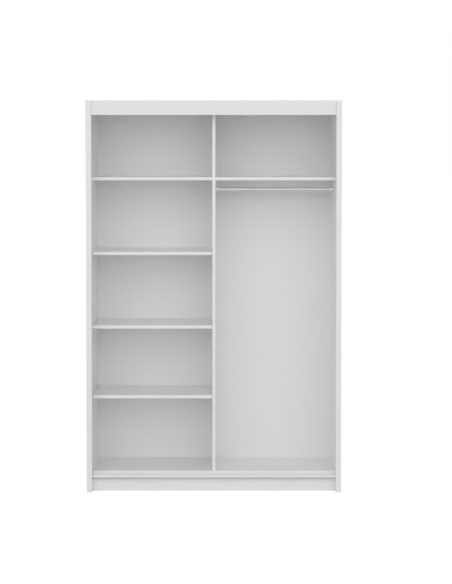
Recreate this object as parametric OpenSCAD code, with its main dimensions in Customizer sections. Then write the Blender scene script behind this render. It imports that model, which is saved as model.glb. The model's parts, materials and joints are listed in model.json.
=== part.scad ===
// Wardrobe body for two sliding doors, shown open: a shelf column on the left, a hanging
// space with a rail on the right, and a door track above and below.
// Millimetres. +Z is up, the front faces -Y, and the origin is on the floor under the middle.

/* [Body] */
// Overall width across the side panels
body_w = 1300; // [900:1:1800]
// Overall height, glides included
body_h = 2000; // [1660:1:2500]
// Overall depth, from the front edges of the side panels to the nail heads on the back
body_d = 620; // [480:1:760]
// Thickness of the two side panels
side_t = 28; // [18:1:40]
// Thickness of every other board
board_t = 16; // [14:0.5:20]
// Thickness of the back sheets
sheet_t = 3; // [2.5:0.5:5]
// Gap that a back sheet keeps from the outline and from the other sheet
sheet_margin = 1; // [0.5:0.5:3]

/* [Front] */
// How far the fascia and the bottom track stand back from the side panels' front edges
front_setback = 20; // [5:1:40]
// Height of the fascia board over the doors
fascia_h = 74; // [60:1:120]
// How far the front plinth stands back from the side panels' front edges
plinth_setback = 60; // [50:1:90]
// Height of the front plinth board
plinth_h = 66; // [56:1:120]
// How far the partition and the shelves stand back from the floor panel's front edge
shelf_recess = 20; // [17:1:60]

/* [Door tracks] */
// Thickness of the doors that the tracks take
door_t = 16; // [10:1:22]
// Space left between the rear door and the floor panel's front edge
door_gap = 1.5; // [1:0.5:5]
// Width of the top track across both channels
top_track_w = 60; // [50:1:80]
// Height of the top track
top_track_h = 38; // [25:1:50]
// Wall thickness of the top track
top_track_wall = 2; // [1.5:0.5:3]
// Thickness of the bottom track's plate and apron
bottom_track_t = 2; // [1.5:0.5:3]
// How far the apron hangs below the top of the plate
apron_drop = 12; // [8:1:20]
// Height of the lip on the front of the plate
lip_h = 2; // [1:0.5:5]
// Height of a running rib over the plate
rib_h = 3; // [2:0.5:6]
// Width of a running rib
rib_w = 4; // [3:0.5:8]
// Gap between a track's end and the side panel
track_end_gap = 1; // [0.5:0.5:5]
// Length of a rubber end stop along the top track
stop_l = 14; // [8:1:30]
// Height of a rubber end stop
stop_h = 14; // [8:1:20]

/* [Track bearer] */
// Depth of the bearer board that lies under the front of the floor panel
bearer_d = 120; // [90:1:200]
// How far the bearer stands back from the side panels' front edges
bearer_setback = 45; // [35:1:60]

/* [Compartments] */
// Clear height of the lowest compartment on the left
gap_1 = 371; // [200:1:450]
// Clear height of the second compartment
gap_2 = 344; // [200:1:420]
// Clear height of the third compartment
gap_3 = 362; // [200:1:440]
// Clear height of the fourth compartment, under the fixed shelf
gap_4 = 367; // [200:1:440]
// Side clearance of a loose shelf
shelf_clear = 1.5; // [1:0.5:4]

/* [Shelf pins] */
// Diameter of a pin's peg
peg_d = 5; // [4:0.5:7]
// Length of the peg in the panel
peg_l = 9.5; // [7:0.5:11]
// Diameter of the pin's collar
collar_d = 8; // [7:0.5:12]
// Thickness of the pin's collar
collar_t = 0.8; // [0.5:0.1:1]
// How far the pin's tongue reaches out from the panel
tongue_l = 12; // [8:1:20]
// Width of the tongue
tongue_w = 9; // [6:1:14]
// Thickness of the tongue
tongue_t = 1.6; // [1:0.2:3]
// Distance of a pin from the shelf's front or rear edge
pin_inset = 45; // [30:1:90]
// Pitch of the spare holes above and below each pin
hole_pitch = 32; // [25:1:50]

/* [Hanging rail] */
// Outer diameter of the rail
rail_d = 25; // [20:0.5:32]
// Wall thickness of the rail
rail_wall = 1; // [0.8:0.1:2]
// Depth of the rail's axis below the fixed shelf
rail_drop = 51; // [48:1:90]
// Gap between the rail's end and the socket's plate
rail_end_gap = 1; // [0.5:0.5:4]
// Radial gap between the rail and its socket
socket_clear = 0.3; // [0.3:0.1:1]
// Wall thickness of the socket's cup
socket_wall = 2.7; // [2:0.1:5]
// Thickness of the socket's plate
socket_plate_t = 3; // [2:0.5:5]
// How far the round part of the plate reaches past the cup
socket_plate_lap = 1.5; // [1:0.5:4]
// Length of the cup along the rail
cup_l = 14; // [8:1:25]
// Height of the cup's walls over the rail's axis
cup_rise = 9; // [4:1:14]
// Gap between the cup and the head of a socket screw
socket_screw_gap = 2; // [1:0.5:6]
// Width of the plate's metal around a socket screw's head
socket_eye_wall = 3.5; // [2:0.5:6]

/* [Fittings] */
// Diameter of a cam housing
cam_d = 15; // [12:1:20]
// Depth of a cam housing
cam_h = 12.5; // [11:0.5:13]
// Distance of the cam's axis from the end of its board
cam_reach = 34; // [24:1:40]
// Diameter of the cam bolt's thread
bolt_d = 5; // [4:0.5:6]
// Depth of the cam bolt's thread in the panel
bolt_l = 10; // [8:0.5:11]
// Diameter of the cam bolt's stem
stem_d = 6; // [5:0.5:7]
// Diameter of a wooden dowel
dowel_d = 8; // [6:1:9]
// Length of a wooden dowel on each side of the joint
dowel_half = 15; // [10:1:20]
// Depth of a dowel in a board's face, where the board is thin
dowel_face = 10; // [8:0.5:11]
// Diameter of an assembly screw
screw_d = 7; // [5:0.5:8]
// Length of an assembly screw under its head
screw_l = 47; // [35:1:60]
// Diameter of an assembly screw's head
screw_head_d = 10; // [9:0.5:12]
// Thickness of an assembly screw's head
screw_head_t = 3; // [2:0.5:4]
// How far a cover cap reaches past the edge of its cam
cap_lap = 1.5; // [1:0.5:3]
// Thickness of a cover cap
cap_t = 1.2; // [0.8:0.2:2]
// Diameter of a small countersunk screw
wood_screw_d = 3.5; // [3:0.5:4.5]
// Length of a small countersunk screw in the wood
wood_screw_l = 12; // [8:1:12]
// Diameter of a small countersunk screw's head
wood_head_d = 7; // [6:0.5:9]
// Height of a small countersunk screw's head
wood_head_h = 1.8; // [1.5:0.1:2]
// Diameter of a back nail
nail_d = 1.4; // [1.2:0.1:2]
// Length of a back nail under its head
nail_l = 18; // [12:1:25]
// Diameter of a back nail's head
nail_head_d = 4; // [3:0.5:6]
// Thickness of a back nail's head
nail_head_t = 0.8; // [0.5:0.1:1.5]
// Gap between a fitting and its hole
fit_gap = 0.1; // [0.05:0.05:0.2]

/* [Floor glides] */
// Height of a glide under the boards
glide_h = 3; // [2:0.5:8]
// Diameter of a glide
glide_d = 15; // [10:0.5:16]
// Diameter of a glide's nail
glide_nail_d = 2.4; // [2:0.1:3]
// Length of a glide's nail
glide_nail_l = 14; // [8:1:20]

/* [Wall brackets] */
// Distance between the two wall screws
wall_pitch = 700; // [400:1:800]
// Width of a bracket along the wall
bracket_w = 40; // [30:1:60]
// Length of each leg of a bracket
bracket_leg = 30; // [25:1:45]
// Thickness of a bracket
bracket_t = 2; // [1.5:0.5:3]
// Diameter of the hole for the wall screw
wall_hole_d = 6; // [4:0.5:8]

/* [Hidden] */
$fn = 48;
eps = 0.01;

white = [0.93, 0.93, 0.93];
sheet_white = [0.9, 0.9, 0.9];
steel = [0.75, 0.76, 0.78];
alu = [0.82, 0.83, 0.84];
beech = [0.8, 0.66, 0.47];
plastic = [0.88, 0.88, 0.87];

// Places along Y
front_y = -body_d / 2;
back_y = body_d / 2 - nail_head_t - sheet_t;
fascia_y = front_y + front_setback;
plinth_y = front_y + plinth_setback;
bearer_y = front_y + bearer_setback;
bearer_back_y = bearer_y + bearer_d;
track_y = fascia_y + board_t;
channel_w = (top_track_w - 3 * top_track_wall) / 2;
lane_pitch = channel_w + top_track_wall;
lanes_y = [for (n = [0, 1]) track_y + top_track_wall + channel_w / 2 + n * lane_pitch];
floor_y = lanes_y[1] + door_t / 2 + door_gap;
shelf_y = floor_y + shelf_recess;
rear_gap = 10;
rear_plinth_y = back_y - rear_gap - board_t;

// Places along X
inner_x = body_w / 2 - side_t;
inner_w = 2 * inner_x;
part_x = board_t / 2;
bay_w = inner_x - part_x;

// Places along Z
bearer_z = glide_h + plinth_h;
floor_z = bearer_z + board_t;
floor_top = floor_z + board_t;
top_z = body_h - board_t;
fascia_z = body_h - fascia_h;
loose_z = [
    floor_top + gap_1,
    floor_top + gap_1 + board_t + gap_2,
    floor_top + gap_1 + gap_2 + 2 * board_t + gap_3,
];
fixed_z = loose_z[2] + board_t + gap_4;

// Hanging rail
rail_y = (shelf_y + back_y) / 2;
rail_z = fixed_z - rail_drop;
rail_r = rail_d / 2;
cup_r = rail_r + socket_clear;
cup_outer_r = cup_r + socket_wall;
socket_eye_r = wood_head_d / 2 + socket_eye_wall;
socket_screw_y = cup_outer_r + socket_screw_gap + wood_head_d / 2;

// Shelf pins
pins_y = [shelf_y + pin_inset, back_y - shelf_clear - pin_inset];
peg_drop = collar_d / 2;

// Insets of the fittings from the edges of their boards
fitting_inset = 70;
dowel_step = 32;
low_inset = 22;

// Every cam joint is [x of the joint face, side of the panel, y, z, face that the cam opens on].
// The faces are "up", "down" and "rear".
function end_cams(ys, z, face, sides = [-1, 1]) =
    [for (s = sides, y = ys) [s * inner_x, s, y, z, face]];
function part_cams(s, ys, z) = [for (y = ys) [s * part_x, -s, y, z, "down"]];

top_cams = end_cams([track_y + fitting_inset, back_y - fitting_inset], top_z + board_t / 2, "up");
floor_cams = end_cams([bearer_back_y + fitting_inset / 2, back_y - fitting_inset],
    floor_z + board_t / 2, "down");
shelf_cam_ys = [shelf_y + fitting_inset, back_y - fitting_inset];
// The cams of the two fixed shelves are staggered where they meet on the partition.
stagger = 20;
function shelf_cams(s) = concat(
    end_cams(shelf_cam_ys, fixed_z + board_t / 2, "down", [s]),
    part_cams(s, [for (y = shelf_cam_ys) y + s * stagger / 2], fixed_z + board_t / 2));
fascia_cam_z = fascia_z + cam_d / 2 + 2;
fascia_cams = end_cams([fascia_y + board_t / 2], fascia_cam_z, "rear");
plinth_cams = end_cams([plinth_y + board_t / 2], glide_h + low_inset, "rear");
rear_plinth_cams = end_cams([rear_plinth_y + board_t / 2], glide_h + low_inset, "rear");
side_cams = concat(top_cams, floor_cams, shelf_cams(-1), shelf_cams(1), fascia_cams,
    plinth_cams, rear_plinth_cams);

// Every dowel is [x, y, z, axis, how far it goes towards minus, how far towards plus].
function x_dowel(s, y, z) = s < 0
    ? [-inner_x, y, z, "x", dowel_half, dowel_half]
    : [inner_x, y, z, "x", dowel_half, dowel_half];
function end_dowels(ys, z, sides = [-1, 1]) = [for (s = sides, y = ys) x_dowel(s, y, z)];
top_dowels = end_dowels(
    [track_y + fitting_inset + dowel_step, back_y - fitting_inset - dowel_step],
    top_z + board_t / 2);
floor_dowels = end_dowels(
    [bearer_back_y + fitting_inset / 2 + dowel_step, back_y - fitting_inset - dowel_step],
    floor_z + board_t / 2);
shelf_dowel_ys = [shelf_cam_ys[0] + dowel_step + stagger, shelf_cam_ys[1] - dowel_step - stagger];
// One dowel of each fixed shelf goes into the partition, and the other shelf has the other.
function shelf_dowels(s) = concat(
    end_dowels(shelf_dowel_ys, fixed_z + board_t / 2, [s]),
    [[s * part_x, shelf_dowel_ys[s < 0 ? 0 : 1], fixed_z + board_t / 2, "x",
        s < 0 ? dowel_half : dowel_face, s < 0 ? dowel_face : dowel_half]]);
fascia_dowels = concat(
    end_dowels([fascia_y + board_t / 2], fascia_z + fascia_h / 2 + dowel_d),
    [for (n = [-3, -1, 1, 3]) [n * inner_w / 8, track_y, top_z + board_t / 2, "y",
        dowel_face, dowel_half]]);
plinth_dowel_z = glide_h + plinth_h - low_inset;
plinth_dowels = end_dowels([plinth_y + board_t / 2], plinth_dowel_z);
rear_plinth_dowels = end_dowels([rear_plinth_y + board_t / 2], plinth_dowel_z);
bearer_dowels = end_dowels([bearer_y + low_inset, bearer_back_y - low_inset],
    bearer_z + board_t / 2);
support_zs = [glide_h + low_inset, plinth_dowel_z];
support_front_dowels = [for (z = support_zs)
    [0, plinth_y + board_t, z, "y", dowel_face, dowel_half]];
support_rear_dowels = [for (z = support_zs)
    [0, rear_plinth_y, z, "y", dowel_half, dowel_face]];
all_dowels = concat(top_dowels, floor_dowels, shelf_dowels(-1), shelf_dowels(1), fascia_dowels,
    plinth_dowels, rear_plinth_dowels, bearer_dowels, support_front_dowels, support_rear_dowels);

// Assembly screws go into the partition's ends: [y, z of the head's outer face, direction].
partition_screw_ys = [shelf_y + fitting_inset, back_y - fitting_inset];
top_screws = [for (y = partition_screw_ys) [y, body_h, -1]];
floor_screws = [for (y = partition_screw_ys) [y, floor_z, 1]];

// Small countersunk screws, five along each track and four under the bearer
track_screw_xs = [for (n = [-2:2]) n * (inner_w - 2 * fitting_inset) / 4];
bearer_screw_xs = [for (n = [-3, -1, 1, 3]) n * (inner_w - 2 * fitting_inset) / 6];
lane_mid_y = (lanes_y[0] + lanes_y[1]) / 2;
bearer_screw_y = (floor_y + bearer_back_y) / 2;

// Back nails: [x, z]
nail_edge_x = body_w / 2 - side_t / 2;
nail_zs = [for (n = [0:9]) floor_top + 20 + n * (top_z - floor_top - 40) / 9];
nail_seam_x = board_t / 4 + sheet_margin / 4;
nail_fixed_z = fixed_z + board_t / 2;
function sheet_nails(s) = concat(
    [for (z = nail_zs) [s * nail_edge_x, z]],
    [for (z = nail_zs) [s * nail_seam_x, z]],
    [for (z = [floor_z + board_t / 2, nail_fixed_z, top_z + board_t / 2], n = [1:3])
        [s * (part_x + n * bay_w / 4), z]]);

// Wall brackets
bracket_y = back_y - bracket_t;
wall_hole_z = top_z - bracket_leg + wall_hole_d / 2 + 9;
bracket_screw_dx = bracket_w / 4;
bracket_screw_y = back_y - bracket_leg + 10;

// Glides: [x, y]
glide_side_x = body_w / 2 - side_t / 2;
glide_side_ys = [front_y + low_inset, back_y - low_inset];
glide_plinth_x = inner_w / 4;
glide_spots = concat(
    [for (s = [-1, 1], y = glide_side_ys) [s * glide_side_x, y]],
    [for (s = [-1, 1], y = [plinth_y, rear_plinth_y]) [s * glide_plinth_x, y + board_t / 2]],
    [for (y = [bearer_back_y, rear_plinth_y - fitting_inset]) [0, y]]);

// ---------- shared shapes ----------

module board(x0, x1, y0, y1, z0, z1) {
    translate([x0, y0, z0]) cube([x1 - x0, y1 - y0, z1 - z0]);
}

module along_x(p, r, l) {
    translate(p) rotate([0, 90, 0]) cylinder(r = r, h = l);
}

module along_y(p, r, l) {
    translate(p) rotate([-90, 0, 0]) cylinder(r = r, h = l);
}

// Puts children, drawn with the cam's open face at the origin looking down, at a cam's place.
module at_cam(c) {
    x = c[0] - c[1] * cam_reach;
    if (c[4] == "up") translate([x, c[2], c[3] + board_t / 2]) mirror([0, 0, 1]) children();
    if (c[4] == "down") translate([x, c[2], c[3] - board_t / 2]) children();
    if (c[4] == "rear") translate([x, c[2] + board_t / 2, c[3]]) rotate([90, 0, 0]) children();
}

module cam_cuts(cams) {
    for (c = cams) {
        at_cam(c) translate([0, 0, -eps])
            cylinder(d = cam_d + 2 * fit_gap, h = cam_h + fit_gap + eps);
        along_x([min(c[0], c[0] - c[1] * cam_reach), c[2], c[3]],
            stem_d / 2 + 1, cam_reach);
        along_x([min(c[0], c[0] + c[1] * (bolt_l + 1)), c[2], c[3]],
            bolt_d / 2 + fit_gap, bolt_l + 1);
    }
}

module dowel_shape(d, gap = 0) {
    r = dowel_d / 2 + gap;
    l = d[4] + d[5] + 2 * gap;
    if (d[3] == "x") along_x([d[0] - d[4] - gap, d[1], d[2]], r, l);
    if (d[3] == "y") along_y([d[0], d[1] - d[4] - gap, d[2]], r, l);
}

module dowel_cuts(dowels) {
    for (d = dowels) dowel_shape(d, fit_gap);
}

module assembly_screw(s, gap = 0) {
    up = s[2] > 0 ? 0 : 180;
    translate([0, s[0], s[1]]) rotate([up, 0, 0]) {
        translate([0, 0, gap > 0 ? -eps : 0])
            cylinder(d = screw_head_d + 2 * gap, h = screw_head_t + gap + (gap > 0 ? eps : 0));
        cylinder(d = screw_d + 2 * gap, h = screw_head_t + screw_l + gap);
    }
}

// A countersunk screw with its head's face at the origin, going up
module wood_screw(gap = 0) {
    lead = gap > 0 ? eps : 0;
    translate([0, 0, -lead]) cylinder(r1 = wood_head_d / 2 + gap, r2 = wood_screw_d / 2 + gap,
        h = wood_head_h + lead);
    cylinder(r = wood_screw_d / 2 + gap, h = wood_head_h + wood_screw_l + gap);
}

// A cross recess for a screw or cam head, cut upwards from its face
module cross_recess(d, depth) {
    for (a = [0, 90]) rotate(a) translate([-d / 2, -d / 10, -eps]) cube([d, d / 5, depth + eps]);
}

module at_top_track_screws() {
    for (x = track_screw_xs, y = lanes_y)
        translate([x, y, top_z - top_track_wall]) children();
}

module at_bottom_track_screws() {
    for (x = track_screw_xs)
        translate([x, lane_mid_y, floor_z + bottom_track_t]) mirror([0, 0, 1]) children();
}

module at_bearer_screws() {
    for (x = bearer_screw_xs) translate([x, bearer_screw_y, bearer_z]) children();
}

// Screws through a rail socket's plate, pointing into the panel on side s
module at_socket_screws(s) {
    x = (s < 0 ? part_x + socket_plate_t : inner_x - socket_plate_t);
    for (dy = [-socket_screw_y, socket_screw_y])
        translate([x, rail_y + dy, rail_z]) rotate([0, s * 90, 0]) children();
}

module at_bracket_screws(s) {
    for (dx = [-bracket_screw_dx, bracket_screw_dx])
        translate([s * wall_pitch / 2 + dx, bracket_screw_y, top_z - bracket_t]) children();
}

module nail(p, gap = 0) {
    along_y([p[0], back_y + sheet_t - nail_l - gap, p[1]], nail_d / 2 + gap, nail_l + 2 * gap);
    if (gap == 0) along_y([p[0], back_y + sheet_t, p[1]], nail_head_d / 2, nail_head_t);
}

module nail_cuts(nails) {
    for (p = nails) nail(p, fit_gap);
}

module glide_cuts() {
    for (p = glide_spots) translate([p[0], p[1], glide_h - eps])
        cylinder(d = glide_nail_d + 2 * fit_gap, h = glide_nail_l + fit_gap + eps);
}

// Pin holes in a panel face at x, drilled towards side s
module pin_holes(x, s) {
    depth = peg_l + 1;
    for (z = loose_z, n = [-1:1], y = pins_y)
        along_x([min(x, x + s * depth), y, z - peg_drop + n * hole_pitch],
            peg_d / 2 + fit_gap, depth);
}

// ---------- boards ----------

module side_panel(s) {
    x0 = s < 0 ? -body_w / 2 : inner_x;
    color(white) difference() {
        board(x0, x0 + side_t, front_y, back_y, glide_h, body_h);
        cam_cuts([for (c = side_cams) if (c[0] == s * inner_x) c]);
        dowel_cuts([for (d = all_dowels) if (d[0] == s * inner_x) d]);
        nail_cuts([for (z = nail_zs) [s * nail_edge_x, z]]);
        glide_cuts();
        if (s < 0) pin_holes(-inner_x, -1);
        else at_socket_screws(1) wood_screw(fit_gap);
    }
}

module top_panel() {
    color(white) difference() {
        board(-inner_x, inner_x, track_y, back_y, top_z, body_h);
        cam_cuts(top_cams);
        dowel_cuts(concat(top_dowels, fascia_dowels));
        for (s = top_screws) assembly_screw(s, fit_gap);
        at_top_track_screws() wood_screw(fit_gap);
        for (s = [-1, 1]) at_bracket_screws(s) wood_screw(fit_gap);
        nail_cuts(concat(sheet_nails(-1), sheet_nails(1)));
    }
}

module floor_panel() {
    color(white) difference() {
        board(-inner_x, inner_x, floor_y, back_y, floor_z, floor_top);
        cam_cuts(floor_cams);
        dowel_cuts(floor_dowels);
        for (s = floor_screws) assembly_screw(s, fit_gap);
        at_bearer_screws() wood_screw_long(fit_gap);
        nail_cuts(concat(sheet_nails(-1), sheet_nails(1)));
    }
}

module centre_partition() {
    color(white) difference() {
        board(-part_x, part_x, shelf_y, back_y, floor_top, top_z);
        for (s = [-1, 1]) {
            cam_cuts([for (c = shelf_cams(s)) if (c[0] == s * part_x) c]);
            dowel_cuts(shelf_dowels(s));
        }
        for (s = concat(top_screws, floor_screws)) assembly_screw(s, fit_gap);
        nail_cuts([for (s = [-1, 1], z = nail_zs) [s * nail_seam_x, z]]);
        pin_holes(-part_x, 1);
        at_socket_screws(-1) wood_screw(fit_gap);
    }
}

module fixed_shelf(s) {
    x0 = s < 0 ? -inner_x : part_x;
    color(white) difference() {
        board(x0, x0 + bay_w, shelf_y, back_y, fixed_z, fixed_z + board_t);
        cam_cuts(shelf_cams(s));
        dowel_cuts(shelf_dowels(s));
        nail_cuts(sheet_nails(s));
    }
}

module loose_shelf(n) {
    color(white) board(-inner_x + shelf_clear, -part_x - shelf_clear, shelf_y,
        back_y - shelf_clear, loose_z[n], loose_z[n] + board_t);
}

module fascia_board() {
    color(white) difference() {
        board(-inner_x, inner_x, fascia_y, track_y, fascia_z, body_h);
        cam_cuts(fascia_cams);
        dowel_cuts(fascia_dowels);
    }
}

module front_plinth() {
    color(white) difference() {
        board(-inner_x, inner_x, plinth_y, plinth_y + board_t, glide_h, bearer_z);
        cam_cuts(plinth_cams);
        dowel_cuts(concat(plinth_dowels, support_front_dowels));
        glide_cuts();
    }
}

module rear_plinth() {
    color(white) difference() {
        board(-inner_x, inner_x, rear_plinth_y, rear_plinth_y + board_t, glide_h, floor_z);
        cam_cuts(rear_plinth_cams);
        dowel_cuts(concat(rear_plinth_dowels, support_rear_dowels));
        glide_cuts();
    }
}

// Stands under the partition, and steps down to pass under the track bearer.
module centre_support() {
    color(white) difference() {
        board(-part_x, part_x, plinth_y + board_t, rear_plinth_y, glide_h, floor_z);
        board(-part_x - 1, part_x + 1, front_y, bearer_back_y, bearer_z, floor_z + 1);
        dowel_cuts(concat(support_front_dowels, support_rear_dowels));
        glide_cuts();
    }
}

module track_bearer() {
    color(white) difference() {
        board(-inner_x, inner_x, bearer_y, bearer_back_y, bearer_z, floor_z);
        dowel_cuts(bearer_dowels);
        at_bottom_track_screws() wood_screw(fit_gap);
        at_bearer_screws() wood_screw_long(fit_gap);
    }
}

module back_sheet(s) {
    x0 = s < 0 ? -body_w / 2 + sheet_margin : sheet_margin / 2;
    x1 = s < 0 ? -sheet_margin / 2 : body_w / 2 - sheet_margin;
    color(sheet_white) difference() {
        board(x0, x1, back_y, back_y + sheet_t, glide_h + sheet_margin, body_h - sheet_margin);
        nail_cuts(sheet_nails(s));
        along_y([s * wall_pitch / 2, back_y - 1, wall_hole_z], wall_hole_d / 2 + 0.5, sheet_t + 2);
    }
}

// ---------- door tracks ----------

// Extrudes a profile, drawn in Y and Z, along X between the side panels.
module track_length() {
    rotate([90, 0, 90]) linear_extrude(height = inner_w - 2 * track_end_gap, center = true)
        children();
}

module top_door_track() {
    color(alu) difference() {
        track_length() {
            translate([track_y, top_z - top_track_wall]) square([top_track_w, top_track_wall]);
            for (n = [0:2]) translate([track_y + n * lane_pitch, top_z - top_track_h])
                square([top_track_wall, top_track_h]);
        }
        at_top_track_screws() wood_screw(fit_gap);
    }
}

module bottom_door_track() {
    color(alu) difference() {
        track_length() {
            translate([fascia_y, floor_z]) square([floor_y - fascia_y, bottom_track_t]);
            translate([fascia_y, floor_z + bottom_track_t - apron_drop])
                square([bottom_track_t, apron_drop + lip_h]);
            for (y = lanes_y) {
                translate([y - rib_w / 2, floor_z]) square([rib_w, rib_h + bottom_track_t - rib_w / 2]);
                translate([y, floor_z + bottom_track_t + rib_h - rib_w / 2]) circle(d = rib_w);
            }
        }
        at_bottom_track_screws() wood_screw(fit_gap);
    }
}

module track_end_stops() {
    color([0.25, 0.25, 0.26]) for (s = [-1, 1], y = lanes_y) {
        x = s * (inner_x - track_end_gap - stop_l / 2);
        board(x - stop_l / 2, x + stop_l / 2, y - channel_w / 2 + fit_gap,
            y + channel_w / 2 - fit_gap, top_z - top_track_wall - stop_h, top_z - top_track_wall);
    }
}

// ---------- hanging rail ----------

module hanging_rail() {
    x0 = part_x + socket_plate_t + rail_end_gap;
    x1 = inner_x - socket_plate_t - rail_end_gap;
    color(steel) difference() {
        along_x([x0, rail_y, rail_z], rail_r, x1 - x0);
        along_x([x0 - 1, rail_y, rail_z], rail_r - rail_wall, x1 - x0 + 2);
    }
}

// An open cup on a plate, drawn with the plate on YZ and the cup towards +X, rail axis at origin
module socket() {
    difference() {
        union() {
            along_x([0, 0, 0], cup_outer_r + socket_plate_lap, socket_plate_t);
            board(0, socket_plate_t, -socket_screw_y, socket_screw_y, -socket_eye_r, socket_eye_r);
            for (dy = [-socket_screw_y, socket_screw_y])
                along_x([0, dy, 0], socket_eye_r, socket_plate_t);
            along_x([socket_plate_t - eps, 0, 0], cup_outer_r, cup_l + eps);
            board(socket_plate_t - eps, socket_plate_t + cup_l, -cup_outer_r, cup_outer_r, 0, cup_rise);
        }
        along_x([socket_plate_t, 0, 0], cup_r, cup_l + 1);
        board(socket_plate_t, socket_plate_t + cup_l + 1, -cup_r, cup_r, 0, cup_outer_r + 1);
        board(socket_plate_t, socket_plate_t + cup_l + 1, -cup_outer_r - 1, cup_outer_r + 1,
            cup_rise, cup_outer_r + 1);
        for (dy = [-socket_screw_y, socket_screw_y])
            translate([socket_plate_t, dy, 0]) rotate([0, -90, 0]) wood_screw(fit_gap);
    }
}

module rail_socket(s) {
    color(steel) if (s < 0) translate([part_x, rail_y, rail_z]) socket();
    else translate([inner_x, rail_y, rail_z]) mirror([1, 0, 0]) socket();
}

// ---------- fittings ----------

// A shelf pin in a panel face at the origin, reaching out to +X, with the shelf at z = 0
module shelf_pin() {
    along_x([-peg_l, 0, -peg_drop], peg_d / 2, peg_l + eps);
    along_x([0, 0, -peg_drop], collar_d / 2, collar_t);
    board(0, tongue_l, -tongue_w / 2, tongue_w / 2, -tongue_t, 0);
}

module shelf_pins() {
    color(steel) for (z = loose_z, y = pins_y) {
        translate([-inner_x, y, z]) shelf_pin();
        translate([-part_x, y, z]) mirror([1, 0, 0]) shelf_pin();
    }
}

module cam_housings() {
    color(steel) for (c = side_cams) difference() {
        at_cam(c) difference() {
            cylinder(d = cam_d, h = cam_h);
            cross_recess(cam_d * 0.6, 3);
        }
        along_x([c[1] < 0 ? c[0] : c[0] - c[1] * cam_reach, c[2], c[3]], stem_d / 2 + 0.6, cam_reach);
    }
}

module cam_bolts() {
    head_r = stem_d / 2;
    neck_l = cam_reach - cam_d / 2 + 1;
    color(steel) for (c = side_cams) {
        // stem inside the board, neck and head inside the cam, thread in the panel
        along_x([min(c[0], c[0] - c[1] * neck_l), c[2], c[3]], stem_d / 2 - 1, neck_l);
        along_x([min(c[0] - c[1] * neck_l, c[0] - c[1] * (neck_l + 4)), c[2], c[3]], head_r, 4);
        along_x([min(c[0], c[0] - c[1] * 6), c[2], c[3]], stem_d / 2, 6);
        along_x([min(c[0], c[0] + c[1] * bolt_l), c[2], c[3]], bolt_d / 2, bolt_l);
    }
}

// Only the cams under the fixed shelves are in sight, so only they are capped.
module cam_cover_caps() {
    color(plastic) for (c = concat(shelf_cams(-1), shelf_cams(1)))
        at_cam(c) translate([0, 0, -cap_t]) cylinder(d = cam_d + 2 * cap_lap, h = cap_t);
}

module wooden_dowels() {
    color(beech) for (d = all_dowels) dowel_shape(d);
}

module assembly_screws() {
    color(steel) for (s = concat(top_screws, floor_screws)) difference() {
        assembly_screw(s);
        translate([0, s[0], s[1]]) rotate([s[2] > 0 ? 0 : 180, 0, 0])
            translate([0, 0, -eps]) cylinder(d = 4.6, h = 2.5, $fn = 6);
    }
}

module recessed_wood_screw() {
    difference() {
        wood_screw();
        cross_recess(wood_head_d * 0.55, 1.2);
    }
}

// A longer countersunk screw, from under the bearer into the floor panel
module wood_screw_long(gap = 0) {
    wood_screw(gap);
    cylinder(r = wood_screw_d / 2 + gap, h = board_t + wood_screw_l - 2 + gap);
}

module top_track_screws() {
    color(steel) at_top_track_screws() recessed_wood_screw();
}

module bottom_track_screws() {
    color(steel) at_bottom_track_screws() recessed_wood_screw();
}

module bearer_screws() {
    color(steel) at_bearer_screws() difference() {
        wood_screw_long();
        cross_recess(wood_head_d * 0.55, 1.2);
    }
}

module rail_socket_screws() {
    color(steel) for (s = [-1, 1]) at_socket_screws(s) recessed_wood_screw();
}

module back_sheet_nails() {
    color(steel) for (s = [-1, 1], p = sheet_nails(s)) nail(p);
}

module wall_bracket(s) {
    x = s * wall_pitch / 2;
    color(steel) difference() {
        union() {
            board(x - bracket_w / 2, x + bracket_w / 2, back_y - bracket_leg, back_y,
                top_z - bracket_t, top_z);
            board(x - bracket_w / 2, x + bracket_w / 2, bracket_y, back_y,
                top_z - bracket_leg, top_z);
        }
        at_bracket_screws(s) wood_screw(fit_gap);
        along_y([x, bracket_y - 1, wall_hole_z], wall_hole_d / 2, bracket_t + 2);
    }
}

module wall_bracket_screws() {
    color(steel) for (s = [-1, 1]) at_bracket_screws(s) recessed_wood_screw();
}

module floor_glides() {
    color(plastic) for (p = glide_spots) translate([p[0], p[1], 0]) {
        cylinder(d = glide_d, h = glide_h);
        translate([0, 0, glide_h - eps]) cylinder(d = glide_nail_d, h = glide_nail_l + eps);
    }
}

// ---------- nodes ----------

side_panel(-1);  // side_panel_left
side_panel(1);  // side_panel_right
top_panel();
floor_panel();
centre_partition();
fixed_shelf(-1);  // fixed_shelf_left
fixed_shelf(1);  // fixed_shelf_right
loose_shelf(0);  // loose_shelf_lower
loose_shelf(1);  // loose_shelf_middle
loose_shelf(2);  // loose_shelf_upper
fascia_board();
front_plinth();
rear_plinth();
centre_support();
track_bearer();
back_sheet(-1);  // back_sheet_left
back_sheet(1);  // back_sheet_right
top_door_track();
bottom_door_track();
track_end_stops();
hanging_rail();
rail_socket(-1);  // rail_socket_left
rail_socket(1);  // rail_socket_right
shelf_pins();
cam_housings();
cam_bolts();
cam_cover_caps();
wooden_dowels();
assembly_screws();
top_track_screws();
bottom_track_screws();
bearer_screws();
rail_socket_screws();
back_sheet_nails();
wall_bracket(-1);  // wall_bracket_left
wall_bracket(1);  // wall_bracket_right
wall_bracket_screws();
floor_glides();
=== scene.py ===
"""Sliding wardrobe body: boards, fittings, materials, light and camera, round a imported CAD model.

Lengths are in metres in the CAD frame: +X right, +Y to the back, +Z up. The origin is on the floor.
"""

import json
import math

import bpy
from bpy.props import FloatProperty, FloatVectorProperty, IntProperty, PointerProperty
from mathutils import Matrix, Vector

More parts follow.
